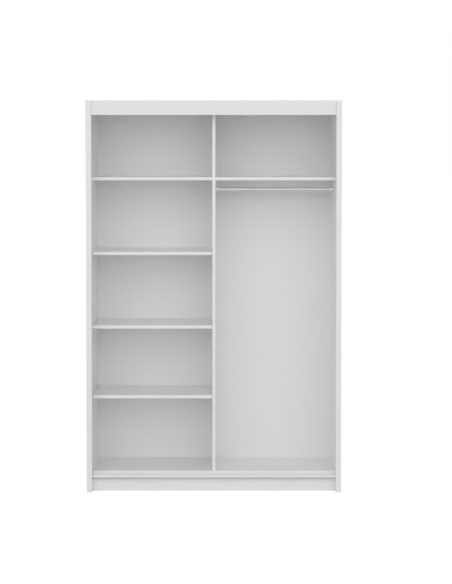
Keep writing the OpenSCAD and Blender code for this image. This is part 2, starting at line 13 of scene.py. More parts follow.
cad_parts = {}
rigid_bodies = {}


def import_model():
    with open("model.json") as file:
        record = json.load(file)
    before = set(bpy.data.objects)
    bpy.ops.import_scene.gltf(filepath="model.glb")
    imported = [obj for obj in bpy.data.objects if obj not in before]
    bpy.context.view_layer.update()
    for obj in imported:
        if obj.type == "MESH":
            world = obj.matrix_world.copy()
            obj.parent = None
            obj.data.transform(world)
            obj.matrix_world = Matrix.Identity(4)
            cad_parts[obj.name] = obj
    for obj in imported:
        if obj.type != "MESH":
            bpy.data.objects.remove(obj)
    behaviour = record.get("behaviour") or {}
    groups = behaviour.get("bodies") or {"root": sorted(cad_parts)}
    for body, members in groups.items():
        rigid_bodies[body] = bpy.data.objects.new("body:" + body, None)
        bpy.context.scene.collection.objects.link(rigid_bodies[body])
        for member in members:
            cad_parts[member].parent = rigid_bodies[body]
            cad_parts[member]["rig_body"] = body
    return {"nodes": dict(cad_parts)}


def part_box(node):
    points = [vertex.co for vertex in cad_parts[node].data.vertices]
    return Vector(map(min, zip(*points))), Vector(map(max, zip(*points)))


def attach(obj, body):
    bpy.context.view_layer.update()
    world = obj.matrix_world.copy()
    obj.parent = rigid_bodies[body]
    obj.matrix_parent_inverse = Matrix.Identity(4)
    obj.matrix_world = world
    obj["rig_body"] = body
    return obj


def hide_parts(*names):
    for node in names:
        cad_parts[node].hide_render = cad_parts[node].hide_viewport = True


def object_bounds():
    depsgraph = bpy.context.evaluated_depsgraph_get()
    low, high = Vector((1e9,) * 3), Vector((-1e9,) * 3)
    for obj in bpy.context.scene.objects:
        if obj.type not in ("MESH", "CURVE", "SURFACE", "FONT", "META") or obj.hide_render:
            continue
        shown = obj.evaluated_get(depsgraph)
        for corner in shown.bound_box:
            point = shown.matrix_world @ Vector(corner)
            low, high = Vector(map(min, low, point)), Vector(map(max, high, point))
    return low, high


bl_info = {
    "name": "Sliding wardrobe body",
    "version": (1, 0, 0),
    "blender": (4, 5, 0),
    "location": "View3D > Sidebar > Wardrobe",
    "description": "Boards, fittings, materials, light and camera for a sliding wardrobe body",
    "category": "Object",
}

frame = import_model()
CAD_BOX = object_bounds()

X, Y, Z = range(3)
LEFT, RIGHT = (X, -1), (X, 1)
FRONT, REAR = (Y, -1), (Y, 1)
DOWN, UP = (Z, -1), (Z, 1)

NEAR = 1e-6  # how close a point lies to a level that it counts as being on
TOUCH = 1e-5  # how far two boxes reach into each other before they count as overlapping
FITS = 1e-4  # how well a fitting's place agrees with the place worked out for it
FACING = 0.9  # the least part of a face's normal along the way that it faces

# The sides of each board that carry an edge band, in the order in which they are glued.
BANDED_SIDES = {
    "side_panel_left": [FRONT, UP, REAR],
    "side_panel_right": [FRONT, UP, REAR],
    "centre_partition": [FRONT],
    "fixed_shelf_left": [FRONT],
    "fixed_shelf_right": [FRONT],
    "loose_shelf_lower": [FRONT, REAR, LEFT, RIGHT],
    "loose_shelf_middle": [FRONT, REAR, LEFT, RIGHT],
    "loose_shelf_upper": [FRONT, REAR, LEFT, RIGHT],
    "floor_panel": [FRONT],
    "top_panel": [],
    "fascia_board": [DOWN, UP],
    "front_plinth": [DOWN],
    "rear_plinth": [],
    "centre_support": [],
    "track_bearer": [FRONT],
}


# ---------- sizes and looks ----------

def metres(name, description, value):
    """A length."""
    return FloatProperty(
        name=name, description=description, default=value, unit="LENGTH", precision=5)


def paint(name, description, value):
    """A colour."""
    return FloatVectorProperty(
        name=name, description=description, default=value, subtype="COLOR", min=0, max=1)


def degrees(name, description, value):
    """An angle."""
    return FloatProperty(
        name=name, description=description, default=math.radians(value), unit="ROTATION")


def glow(name, description, value):
    """The strength of a light that has no size of its own."""
    return FloatProperty(name=name, description=description, default=value, min=0)


class WardrobeSizes(bpy.types.PropertyGroup):
    """Sizes of the fine detail on the boards and fittings."""

    band: metres("Edge band", "Thickness of the glued edge bands", 0.001)
    edge_radius: metres("Edge radius", "Radius to which the bands' outer edges are trimmed", 0.0007)
    seam: metres(
        "Seam", "Bevel on the edges of a board, which shows as a hairline beside a band", 0.00025)
    bore_gap: metres("Bore gap", "Room that a bore leaves around the fitting in it", 0.0001)
    hole_pitch: metres("Hole pitch", "Pitch of the spare holes above and below a shelf pin", 0.032)
    pin_collar: metres("Pin collar", "Radius of the collar on a shelf pin", 0.004)
    pin_peg: metres("Pin peg", "Radius of the peg of a shelf pin", 0.0025)
    pin_tongue: metres("Pin tongue", "Length of the tongue of a shelf pin, from the panel", 0.012)
    pin_collar_depth: metres("Pin collar depth", "Thickness of a shelf pin's collar", 0.0008)
    pin_tongue_depth: metres("Pin tongue depth", "Thickness of a shelf pin's tongue", 0.0016)
    pin_bore: metres("Pin bore", "Depth of the holes for shelf pins", 0.0105)
    pin_ease: metres("Pin easing", "Bevel on the edges of a shelf pin", 0.0002)
    sheet_edge: metres("Sheet edge", "Bevel on the edges of a back sheet", 0.0003)
    sheet_hole: metres(
        "Sheet hole", "Radius of the holes in the back sheets behind the wall brackets", 0.0035)
    bracket_hole_rise: metres(
        "Bracket hole rise", "Height of the wall hole above the foot of its bracket", 0.012)
    top_wall: metres("Top track wall", "Thickness of the top track's walls", 0.002)
    bottom_plate: metres(
        "Bottom track plate", "Thickness of the bottom track's plate and apron", 0.002)
    lip: metres("Bottom track lip", "Rise of the bottom track's front lip above its plate", 0.002)
    rib: metres("Bottom track rib", "Width of the ribs that the doors run on", 0.004)
    track_edge: metres("Track edge", "Radius on the outer corners of the tracks", 0.0003)
    track_fillet: metres("Track fillet", "Radius in the inner corners of the top track", 0.0005)
    stop_edge: metres("Stop edge", "Radius on the edges of the rubber stops", 0.0012)
    stop_rim: metres("Stop rim", "Width of the rim round a rubber stop's striking face", 0.0025)
    stop_dish: metres("Stop dish", "Depth to which a rubber stop's striking face is hollowed", 0.001)
    rail_edge: metres("Rail edge", "Bevel on the ends of the rail's tube", 0.0003)
    rail_wall: metres("Rail wall", "Thickness of the rail's tube", 0.001)
    socket_edge: metres("Socket edge", "Bevel on the edges of the rail's sockets", 0.0004)
    bracket_edge: metres("Bracket edge", "Bevel on the edges of the wall brackets", 0.0003)
    cam_edge: metres("Cam edge", "Bevel on the edges of the cams and bolts", 0.0003)
    cam_recess: metres("Cam recess", "Depth of the cross recess in a cam", 0.003)
    cam_mouth: metres("Cam mouth", "Radius of the opening in a cam for its bolt", 0.0036)
    cam_mouth_depth: metres("Cam mouth depth", "Depth of the bolt's axis below a cam's face", 0.008)
    bolt_stem: metres("Bolt stem", "Radius of a cam bolt's collar and head", 0.003)
    bolt_neck: metres("Bolt neck", "Radius of a cam bolt's neck", 0.002)
    bolt_thread: metres("Bolt thread", "Radius of a cam bolt's thread", 0.0025)
    bolt_inside: metres("Bolt inside", "Length of a cam bolt's thread", 0.01)
    bolt_collar: metres("Bolt collar", "Length of a cam bolt's collar", 0.0055)
    bolt_head: metres("Bolt head", "Length of a cam bolt's head", 0.0035)
    bolt_step: metres("Bolt step", "Length over which a bolt's neck widens into its head", 0.0005)
    bolt_pitch: metres("Bolt pitch", "Pitch of a cam bolt's thread", 0.001)
    dowel_chamfer: metres("Dowel chamfer", "Chamfer on the ends of a dowel", 0.001)
    screw_head: metres("Screw head", "Radius of a small screw's head", 0.0035)
    screw_shank: metres("Screw shank", "Radius of a small screw's shank", 0.00175)
    screw_seat: metres("Screw seat", "Height of a small screw's countersunk head", 0.0018)
    screw_rim: metres("Screw rim", "Bevel round a small screw's head", 0.00015)
    screw_recess: metres("Screw recess", "Depth of a small screw's cross recess", 0.0012)
    screw_plain: metres("Screw neck", "Plain length under a small screw's head", 0.001)
    screw_point: metres("Screw point", "Length of a small screw's point", 0.003)
    screw_pitch: metres("Screw pitch", "Pitch of a small screw's thread", 0.0013)
    long_head: metres("Assembly head", "Height of an assembly screw's head", 0.003)
    long_shank: metres("Assembly shank", "Radius of an assembly screw's shank", 0.0035)
    long_plain: metres("Assembly neck", "Length of an assembly screw without thread", 0.012)
    long_point: metres("Assembly point", "Length of an assembly screw's point", 0.004)
    long_pitch: metres("Assembly pitch", "Pitch of an assembly screw's thread", 0.0022)
    hex_key: metres(
        "Hexagon recess", "Radius over the corners of an assembly screw's recess", 0.0023)
    hex_depth: metres("Hexagon depth", "Depth of an assembly screw's recess", 0.0025)
    nail_head: metres("Nail head", "Thickness of a nail's head", 0.0008)
    nail_wire: metres("Nail wire", "Radius of a nail's wire", 0.0007)
    glide_foot: metres("Glide foot", "Thickness of a glide's foot", 0.003)
    glide_spike: metres("Glide nail", "Radius of a glide's nail", 0.0012)
    round_steps: IntProperty(
        name="Round steps", description="Sides of a small round fitting",
        default=32, min=12, max=64)


class WardrobeLooks(bpy.types.PropertyGroup):
    """Colours and finishes."""

    board: paint("Boards", "Colour of the melamine faces", (0.90, 0.90, 0.90))
    band: paint("Edge bands", "Colour of the edge bands", (0.91, 0.91, 0.91))
    # The bearer's near-black grey is painted shade. It darkens the bearer's front edge so that it
    # shows as the shadow line in the gap under the bottom track's apron.
    bearer: paint(
        "Bearer", "Colour of the board that carries the bottom track", (0.12, 0.12, 0.122))
    sheet: paint(
        "Back sheets", "Colour of the lacquered face of the back sheets", (0.90, 0.90, 0.90))
    fibre: paint(
        "Bare fibreboard", "Colour of the bare rear face of the back sheets", (0.33, 0.215, 0.125))
    chips: paint("Bare chipboard", "Colour of the bare edges of the boards", (0.52, 0.39, 0.25))
    track: paint("Tracks", "Colour of the lacquered tracks", (0.88, 0.88, 0.88))
    chrome: paint("Rail", "Colour of the plated rail and sockets", (0.72, 0.725, 0.73))
    zinc: paint("Fasteners", "Colour of the zinc-plated fasteners", (0.66, 0.67, 0.68))
    cast: paint("Cams", "Colour of the die-cast cams", (0.50, 0.51, 0.52))
    plastic: paint("Plastic", "Colour of the caps and glides", (0.80, 0.80, 0.79))
    rubber: paint("Rubber", "Colour of the end stops", (0.035, 0.035, 0.038))
    beech: paint("Beech", "Colour of the dowels", (0.62, 0.44, 0.26))


class WardrobeStage(bpy.types.PropertyGroup):
    """The camera, the lights and the floor."""

    eye_x: metres("Eye, sideways", "Place of the camera along X", 0.062)
    eye_distance: metres(
        "Eye, distance", "Distance from the front edges of the side panels", 11.924)
    eye_z: metres("Eye, height", "Height of the camera", 1.802)
    pitch: degrees("Pitch", "How far the camera looks down", 2.863)
    lens: FloatProperty(
        name="Lens", description="Focal length for a sensor 36 mm on its long side",
        default=144.87, unit="CAMERA")
    shift: FloatProperty(
        name="Shift", description="Vertical shift of the lens",
        default=-0.06)
    sky: glow("Sky", "Strength of the even light from all round", 0.23)
    front_glow: glow("Front glow", "Extra strength of the sky straight in front", 1.88)
    glow_rise: degrees("Glow rise", "How high in the sky the front glow is brightest", 5)
    rear_glow: glow("Rear glow", "Extra strength of the sky straight behind", 0.9)
    key: FloatProperty(
        name="Key light", description="Power of the large lamp above and in front",
        default=10.0, unit="POWER")
    key_distance: metres("Key distance", "Distance of the lamp from the side panels' fronts", 6.5)
    key_height: metres("Key height", "Height of the lamp", 4.0)
    key_width: metres("Key width", "Width of the lamp", 6.0)
    key_depth: metres("Key depth", "Height of the lamp's face", 3.5)
    key_aim: metres("Key aim", "Height of the point that the lamp faces", 1.0)
    floor_glow: glow("Floor glow", "Light that the camera sees the floor give off", 0.72)
    gamma: FloatProperty(
        name="Gamma", description="Gamma of the picture",
        default=1.4, min=0.5, max=2)
    floor: paint("Floor", "Colour of the floor", (0.9, 0.9, 0.9))
    floor_reach: metres("Floor reach", "Radius of the floor", 60.0)


def sizes():
    return bpy.context.scene.wardrobe_sizes


def looks():
    return bpy.context.scene.wardrobe_looks


# ---------- modelling by hand ----------

def only(piece):
    """Selects one object and makes it the active one."""
    bpy.ops.object.select_all(action="DESELECT")
    piece.select_set(True)
    bpy.context.view_layer.objects.active = piece


def pick(piece, kind, test):
    """Opens a piece in edit mode with the vertices, edges or faces selected that pass a test."""
    only(piece)
    bpy.ops.object.mode_set(mode="EDIT")
    bpy.ops.mesh.select_mode(type=kind)
    bpy.ops.mesh.select_all(action="DESELECT")
    bpy.ops.object.mode_set(mode="OBJECT")
    mesh = piece.data
    elements = {"VERT": mesh.vertices, "EDGE": mesh.edges, "FACE": mesh.polygons}[kind]
    for element in elements:
        element.select = bool(test(element))
    bpy.ops.object.mode_set(mode="EDIT")


def leave_edit():
    bpy.ops.object.mode_set(mode="OBJECT")


def block(name, low, high):
    """A box between two corners, with its place in its mesh."""
    low, high = Vector(low), Vector(high)
    bpy.ops.object.select_all(action="DESELECT")
    bpy.ops.mesh.primitive_cube_add(size=1, location=(low + high) / 2, scale=high - low)
    piece = bpy.context.object
    piece.name = name
    bpy.ops.object.transform_apply(location=True, rotation=True, scale=True)
    return piece


def bevel_edges(piece, width, steps=2, test=None):
    """Bevels the edges that pass a test, or all of them."""
    pick(piece, "EDGE", test or (lambda edge: True))
    bpy.ops.mesh.bevel(offset=width, segments=steps, affect="EDGES", clamp_overlap=True)
    leave_edit()
    return piece


def turned(name, profile, sides):
    """A turned solid along +Z: a disc extruded and scaled through steps of (height, radius)."""
    height, radius = profile[0]
    bpy.ops.object.select_all(action="DESELECT")
    bpy.ops.mesh.primitive_circle_add(
        vertices=sides, radius=radius, fill_type="NGON", location=(0, 0, height))
    piece = bpy.context.object
    piece.name = name
    bpy.ops.object.transform_apply(location=True, rotation=True, scale=True)
    bpy.ops.object.mode_set(mode="EDIT")
    bpy.ops.mesh.select_mode(type="FACE")
    bpy.ops.mesh.select_all(action="SELECT")
    for next_height, next_radius in profile[1:]:
        bpy.ops.mesh.extrude_region_move(
            TRANSFORM_OT_translate={"value": (0, 0, next_height - height)})
        factor = next_radius / radius
        bpy.ops.transform.resize(
            value=(factor, factor, 1), center_override=(0, 0, next_height))
        height, radius = next_height, next_radius
    bpy.ops.mesh.select_all(action="SELECT")
    bpy.ops.mesh.normals_make_consistent(inside=False)
    leave_edit()
    return piece


def apply_modifier(piece, kind, **settings):
    """Adds a modifier with these settings and applies it."""
    only(piece)
    modifier = piece.modifiers.new(kind.lower(), kind)
    for name, value in settings.items():
        setattr(modifier, name, value)
    bpy.ops.object.modifier_apply(modifier=modifier.name)
    return piece


def remove(piece):
    mesh = piece.data
    bpy.data.objects.remove(piece)
    bpy.data.meshes.remove(mesh)


def combine(piece, other, operation):
    """Applies a boolean with another solid, and throws the other away."""
    apply_modifier(piece, "BOOLEAN", operation=operation, solver="EXACT", object=other)
    remove(other)
    return piece


def cut(piece, cutter):
    return combine(piece, cutter, "DIFFERENCE")


def add(piece, other):
    return combine(piece, other, "UNION")


def joined(name, pieces):
    """Several objects as one, under a new name."""
    only(pieces[0])
    for piece in pieces[1:]:
        piece.select_set(True)
    if len(pieces) > 1:
        bpy.ops.object.join()
    result = bpy.context.view_layer.objects.active
    result.name = name
    return result


def copy_of(piece, matrix):
    """A copy with its own mesh, moved by a matrix."""
    copy = piece.copy()
    copy.data = piece.data.copy()
    bpy.context.scene.collection.objects.link(copy)
    copy.data.transform(matrix)
    return copy


def copies(name, master, matrices):
    """Copies of one modelled piece at several places, as one object. The master is thrown away."""
    made = [copy_of(master, matrix) for matrix in matrices]
    remove(master)
    return joined(name, made)


def smooth(piece, angle=math.radians(32)):
    """Smooth shading that keeps the sharp edges."""
    only(piece)
    bpy.ops.object.shade_smooth_by_angle(angle=angle)
    return piece


def pointing(direction, place):
    """Moves a piece that points along +Z from the origin, to point along a side from a place."""
    axis, sign = direction
    target = Vector([sign if n == axis else 0 for n in range(3)])
    turn = Vector((0, 0, 1)).rotation_difference(target)
    return Matrix.Translation(place) @ turn.to_matrix().to_4x4()


def finish_piece(piece, node, *materials, stands=True):
    """Gives a piece its materials, slot and body, and hides the CAD node that it stands for."""
    shares = [face.material_index for face in piece.data.polygons]
    piece.data.materials.clear()
    for finish in materials:
        piece.data.materials.append(finish)
    for face, share in zip(piece.data.polygons, shares):
        face.material_index = share
    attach(piece, frame["nodes"][node]["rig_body"])
    if stands:
        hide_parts(node)
    return piece


# ---------- places from the CAD model ----------

def solids_of(node):
    """The lowest and highest corner of each separate solid in a CAD node, in a steady order."""
    mesh = frame["nodes"][node].data
    keys = [tuple(round(c, 6) for c in vertex.co) for vertex in mesh.vertices]
    parent = {key: key for key in keys}

    def root(key):
        while parent[key] != key:
            parent[key] = parent[parent[key]]
            key = parent[key]
        return key

    for edge in mesh.edges:
        a, b = edge.vertices
        parent[root(keys[a])] = root(keys[b])
    groups = {}
    for key in parent:
        groups.setdefault(root(key), []).append(key)
    boxes = [
        (Vector(map(min, *points)), Vector(map(max, *points))) for points in groups.values()]
    return sorted(boxes, key=lambda box: tuple(round(c, 4) for c in box[0]))


def middle(box):
    return (box[0] + box[1]) / 2


def twin(box):
    """A copy of a box, to be changed."""
    return box[0].copy(), box[1].copy()


def long_axis(box):
    size = box[1] - box[0]
    return max(range(3), key=lambda n: size[n])


def short_axis(box):
    size = box[1] - box[0]
    return min(range(3), key=lambda n: size[n])


def overlaps(a, b):
    """Whether two boxes share some space."""
    return all(a[0][n] < b[1][n] - TOUCH and b[0][n] < a[1][n] - TOUCH for n in range(3))


def level(box, direction):
    """The place of a box's face on one side, along that side's axis."""
    axis, sign = direction
    return box[1 if sign > 0 else 0][axis]


def end_point(box, direction):
    """The middle of a box's face on one side."""
    point = middle(box)
    point[direction[0]] = level(box, direction)
    return point


def opposite(direction):
    return direction[0], -direction[1]


def pin_frames():
    """Each shelf pin as (point on the panel's face under the shelf, side of the panel)."""
    tongue = sizes().pin_tongue
    left_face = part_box("side_panel_left")[1].x
    right_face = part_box("centre_partition")[0].x
    found = []
    for box in solids_of("shelf_pins"):
        side = LEFT if middle(box).x < (left_face + right_face) / 2 else RIGHT
        x = left_face if side == LEFT else right_face
        assert abs(abs(end_point(box, opposite(side)).x - x) - tongue) < FITS
        found.append((Vector((x, middle(box).y, box[1].z)), side))
    return found


# ---------- materials ----------

class Value:
    """A number socket of a shader tree. Python maths on it adds Math nodes."""

    def __init__(self, shade, socket):
        self.shade = shade
        self.socket = socket

    def math(self, operation, *operands):
        sockets = dict(enumerate(operands))
        return self.shade.node("ShaderNodeMath", {"operation": operation}, sockets)

    def __add__(self, other):
        return self.math("ADD", self, other)

    def __radd__(self, other):
        return self.math("ADD", other, self)

    def __sub__(self, other):
        return self.math("SUBTRACT", self, other)

    def __rsub__(self, other):
        return self.math("SUBTRACT", other, self)

    def __mul__(self, other):
        return self.math("MULTIPLY", self, other)

    def __rmul__(self, other):
        return self.math("MULTIPLY", other, self)

    def __truediv__(self, other):
        return self.math("DIVIDE", self, other)

    def __rtruediv__(self, other):
        return self.math("DIVIDE", other, self)

    def __pow__(self, other):
        return self.math("POWER", self, other)

    def __rpow__(self, other):
        return self.math("POWER", other, self)

    def least(self, other):
        return self.math("MINIMUM", self, other)

    def most(self, other):
        return self.math("MAXIMUM", self, other)


class Tree:
    """A tree of shader nodes."""

    def __init__(self, tree):
        self.tree = tree

    def node(self, kind, settings=None, sockets=None, output=0):
        """Adds a node: its settings first, then the values or links of its sockets."""
        node = self.tree.nodes.new(kind)
        for name, value in (settings or {}).items():
            setattr(node, name, value)
        for key, value in (sockets or {}).items():
            self.put(node.inputs[key], value)
        return Value(self, node.outputs[output])

    def put(self, socket, value):
        """Links a value to a socket, or sets the socket to a constant."""
        if isinstance(value, Value):
            self.tree.links.new(value.socket, socket)
        else:
            socket.default_value = value

    def part(self, vector, axis):
        """One coordinate of a vector."""
        return self.node("ShaderNodeSeparateXYZ", None, {0: vector}, axis)


class Shade(Tree):
    """One material's nodes."""

    def __init__(self, name, **constants):
        self.material = bpy.data.materials.new(name)
        self.material.use_nodes = True
        super().__init__(self.material.node_tree)
        self.shader = self.tree.nodes["Principled BSDF"]
        self.place = self.node("ShaderNodeTexCoord", output="Object")
        self.feed(**constants)

    def feed(self, **values):
        """Feeds the shader's sockets, with links or constants."""
        for socket, value in values.items():
            self.put(self.shader.inputs[socket.replace("_", " ")], value)
        return self.material

    def vector(self, operation, *operands):
        """Vector maths on places."""
        return self.node(
            "ShaderNodeVectorMath", {"operation": operation}, dict(enumerate(operands)))

    def scaled(self, scale):
        """The place on the piece, stretched by a factor for each axis."""
        return self.vector("MULTIPLY", self.place, scale)

    def noise(self, scale, detail=2.0, roughness=0.5, place=None, distortion=0.0):
        """Smooth noise from 0 to 1, with about this many grains a metre."""
        return self.node("ShaderNodeTexNoise", None, {
            "Vector": place or self.place, "Scale": scale, "Detail": detail,
            "Roughness": roughness, "Distortion": distortion})

    def cells(self, scale, place=None, output="Distance"):
        """Random cells, with about this many a metre."""
        return self.node("ShaderNodeTexVoronoi", None, {
            "Vector": place or self.place, "Scale": scale}, output)

    def ramp(self, value, low, high):
        """0 below low, 1 above high, and smooth between them."""
        return self.node("ShaderNodeMapRange", {"interpolation_type": "SMOOTHSTEP"}, {
            "Value": value, "From Min": low, "From Max": high})

    def mix(self, factor, first, second):
        """A colour between two colours."""
        return self.node("ShaderNodeMix", {"data_type": "RGBA"}, {
            "Factor": factor, 6: opaque(first), 7: opaque(second)}, 2)

    def bump(self, height, depth, strength):
        """Surface relief from a height from 0 to 1, this many metres deep."""
        return self.node("ShaderNodeBump", None, {
            "Height": height, "Distance": depth, "Strength": strength}, "Normal")

    def edge_distance(self, low, high):
        """How far a point on a box's surface is from the nearest edge of the box, in metres."""
        centre, half = (low + high) / 2, (high - low) / 2
        reach = self.vector("ABSOLUTE", self.vector("SUBTRACT", self.place, centre))
        room = self.vector("SUBTRACT", half, reach)
        x, y, z = (self.part(room, axis) for axis in (X, Y, Z))
        return x.least(y).most(x.most(y).least(z))


def opaque(colour):
    """A colour with full alpha, or a link as it is."""
    return colour if isinstance(colour, Value) else (*colour, 1.0)


def tint(colour, factor):
    """A colour made lighter or darker."""
    return tuple(min(1.0, channel * factor) for channel in colour)


def melamine(name, colour, low, high):
    """White melamine: a fine pearl grain, faint mottling, and slight wear along the edges."""
    shade = Shade(name)
    pearl = shade.noise(1500.0, 3.0, 0.6)
    mottle = shade.noise(2.3, 4.0, 0.55)
    rub = shade.noise(45.0, 4.0, 0.6)
    rim = 1.0 - shade.ramp(shade.edge_distance(low, high), 0.0003, 0.0022)
    wear = rim * shade.ramp(rub, 0.42, 0.68)
    face = shade.mix(mottle, tint(colour, 0.985), tint(colour, 1.015))
    grained = shade.mix(shade.ramp(pearl, 0.35, 0.7), tint(colour, 0.985), tint(colour, 1.012))
    blended = shade.mix(0.5, face, grained)
    base = shade.mix(wear * 0.5, blended, tint(colour, 0.93))
    roughness = 0.26 + 0.07 * pearl + 0.05 * mottle - 0.06 * wear
    return shade.feed(
        Base_Color=base, Roughness=roughness, Normal=shade.bump(pearl, 0.00003, 0.6))


def band_plastic(name, colour, low, high):
    """Edge band: smooth plastic with fine lines along its length and trimmed, polished edges."""
    shade = Shade(name)
    axis = long_axis((low, high))
    stretch = tuple(12.0 if n == axis else 2600.0 for n in range(3))
    lines = shade.noise(1.0, 2.0, 0.5, shade.scaled(stretch))
    cloud = shade.noise(9.0, 3.0)
    trim = 1.0 - shade.ramp(shade.edge_distance(low, high), 0.0002, 0.0011)
    base = shade.mix(cloud, tint(colour, 0.985), tint(colour, 1.01))
    base = shade.mix(trim * 0.35, base, tint(colour, 0.95))
    roughness = 0.34 + 0.08 * lines - 0.08 * trim
    return shade.feed(
        Base_Color=base, Roughness=roughness, Normal=shade.bump(lines, 0.00002, 0.5))


def lacquer(name, colour):
    """The lacquered face of a back sheet, with the faint ripple of the board under it."""
    shade = Shade(name)
    ripple = shade.noise(130.0, 3.0, 0.5)
    cloud = shade.noise(1.7, 3.0)
    speck = shade.ramp(shade.noise(900.0, 2.0), 0.66, 0.74)
    base = shade.mix(cloud, tint(colour, 0.985), tint(colour, 1.015))
    base = shade.mix(speck * 0.12, base, tint(colour, 0.88))
    return shade.feed(
        Base_Color=base, Roughness=0.42 + 0.10 * ripple,
        Normal=shade.bump(ripple, 0.00006, 0.5))


def bare_fibreboard(name, colour):
    """The bare face of hard fibreboard: brown, matted with fine fibres and cloudy."""
    shade = Shade(name)
    fibres = shade.noise(700.0, 5.0, 0.7, shade.scaled((1.0, 1.0, 2.2)), 0.6)
    cloud = shade.noise(5.0, 4.0, 0.6)
    flecks = shade.ramp(shade.cells(420.0), 0.0, 0.32)
    base = shade.mix(fibres, tint(colour, 0.72), tint(colour, 1.28))
    base = shade.mix(cloud * 0.5, base, tint(colour, 1.12))
    base = shade.mix((1.0 - flecks) * 0.45, base, tint(colour, 0.5))
    return shade.feed(
        Base_Color=base, Roughness=0.78 + 0.12 * fibres,
        Normal=shade.bump(fibres, 0.00012, 0.8))


def bare_chipboard(name, colour):
    """The sawn edge of chipboard: coarse chips of several tones, with gaps between them."""
    shade = Shade(name)
    chips = shade.cells(330.0, shade.scaled((1.0, 1.0, 2.4)), "Color")
    tone = shade.part(chips, X)
    gaps = shade.ramp(shade.cells(330.0, shade.scaled((1.0, 1.0, 2.4))), 0.25, 0.65)
    grain = shade.noise(1600.0, 3.0)
    base = shade.mix(tone, tint(colour, 0.6), tint(colour, 1.35))
    base = shade.mix(gaps * 0.5, base, tint(colour, 0.45))
    height = 0.6 * tone + 0.25 * grain - 0.5 * gaps
    return shade.feed(
        Base_Color=base, Roughness=0.82 + 0.1 * grain, Normal=shade.bump(height, 0.0003, 0.8))


def lacquered_metal(name, colour):
    """Lacquered aluminium, through which the fine die lines of an extrusion along X show."""
    shade = Shade(name)
    lines = shade.noise(1.0, 3.0, 0.6, shade.scaled((5.0, 3200.0, 3200.0)))
    haze = shade.noise(14.0, 3.0)
    rub = shade.ramp(shade.noise(1.0, 2.0, 0.5, shade.scaled((9.0, 260.0, 260.0))), 0.55, 0.8)
    base = shade.mix(haze, tint(colour, 0.98), tint(colour, 1.01))
    base = shade.mix(rub * 0.2, base, tint(colour, 0.95))
    return shade.feed(
        Base_Color=base, Roughness=0.42 + 0.08 * lines + 0.05 * haze - 0.06 * rub,
        Normal=shade.bump(lines, 0.000006, 0.4))


def plated(name, colour, gloss, brushed):
    """Plated metal: gloss is its roughness, and brushed how strongly its fine scratches show."""
    shade = Shade(name)
    scratches = shade.noise(1.0, 3.0, 0.6, shade.scaled((60.0, 2400.0, 2400.0)))
    haze = shade.noise(80.0, 3.0)
    spots = shade.ramp(shade.noise(900.0, 2.0), 0.66, 0.8)
    base = shade.mix(haze, tint(colour, 0.96), tint(colour, 1.03))
    base = shade.mix(spots * 0.1, base, tint(colour, 0.85))
    return shade.feed(
        Base_Color=base, Metallic=1.0 - 0.1 * spots,
        Roughness=gloss + brushed * scratches + 0.06 * haze,
        Normal=shade.bump(scratches, 0.00001, brushed * 2.0))


def die_cast(name, colour):
    """Die-cast zinc: dull grey with a grainy skin."""
    shade = Shade(name)
    skin = shade.noise(1300.0, 4.0, 0.65)
    cloud = shade.noise(160.0, 2.0)
    base = shade.mix(skin, tint(colour, 0.78), tint(colour, 1.15))
    base = shade.mix(cloud * 0.4, base, tint(colour, 0.85))
    return shade.feed(
        Base_Color=base, Metallic=0.8 + 0.15 * cloud, Roughness=0.46 + 0.18 * skin,
        Normal=shade.bump(skin, 0.00006, 0.8))


def moulded(name, colour, roughness, grain_depth):
    """Moulded plastic or rubber with a fine spark-eroded grain."""
    shade = Shade(name)
    grain = shade.noise(2200.0, 3.0, 0.6)
    flow = shade.noise(35.0, 2.0)
    base = shade.mix(flow, tint(colour, 0.96), tint(colour, 1.03))
    base = shade.mix(grain * 0.2, base, tint(colour, 0.9))
    return shade.feed(
        Base_Color=base, Roughness=roughness + 0.1 * grain,
        Normal=shade.bump(grain, grain_depth, 0.7))


def beech_wood(name, colour):
    """Beech: straight grain with short dark rays."""
    shade = Shade(name)
    grain = shade.noise(1.0, 4.0, 0.6, shade.scaled((40.0, 900.0, 900.0)))
    rays = shade.ramp(shade.noise(1.0, 2.0, 0.5, shade.scaled((350.0, 1900.0, 1900.0))), 0.6, 0.72)
    base = shade.mix(grain, tint(colour, 0.8), tint(colour, 1.15))
    base = shade.mix(rays * 0.5, base, tint(colour, 0.6))
    return shade.feed(
        Base_Color=base, Roughness=0.6 + 0.15 * grain, Normal=shade.bump(grain, 0.00005, 0.6))


MATERIALS = {}


def material(name, maker, *details):
    """A material that several pieces share, made the first time it is asked for."""
    if name not in MATERIALS:
        MATERIALS[name] = maker(name, *details)
    return MATERIALS[name]


def zinc_plate():
    return material("zinc_plate", plated, looks().zinc, 0.28, 0.2)


def chrome_plate():
    return material("chrome_plate", plated, looks().chrome, 0.30, 0.06)


def white_plastic():
    return material("white_moulded_plastic", moulded, looks().plastic, 0.42, 0.00004)


# ---------- boards ----------

def bore(box, axis, radius, sides):
    """A round cutter along one axis of a fitting's box, a little longer than the box."""
    gap = sizes().bore_gap
    length = box[1][axis] - box[0][axis] + 2 * gap
    cutter = turned("bore", [(0, radius + gap), (length, radius + gap)], sides)
    start = end_point(box, (axis, -1))
    start[axis] -= gap
    cutter.data.transform(pointing((axis, 1), start))
    return cutter


def bores_in(board_box):
    """Lists of round cutters for one board. The cutters within a list don't meet."""
    sides = sizes().round_steps
    cutters = []
    for node in ("wooden_dowels", "cam_bolts"):
        fitting = [box for box in solids_of(node) if overlaps(box, board_box)]
        cutters.append([bore(box, long_axis(box), across(box) / 2, sides) for box in fitting])
    cams = [box for box in solids_of("cam_housings") if overlaps(box, board_box)]
    cutters.append([bore(box, short_axis(box), across(box) / 2, sides) for box in cams])
    return cutters


def across(box):
    """The middle one of a box's three sizes, which is a turned piece's diameter."""
    return sorted(box[1] - box[0])[1]


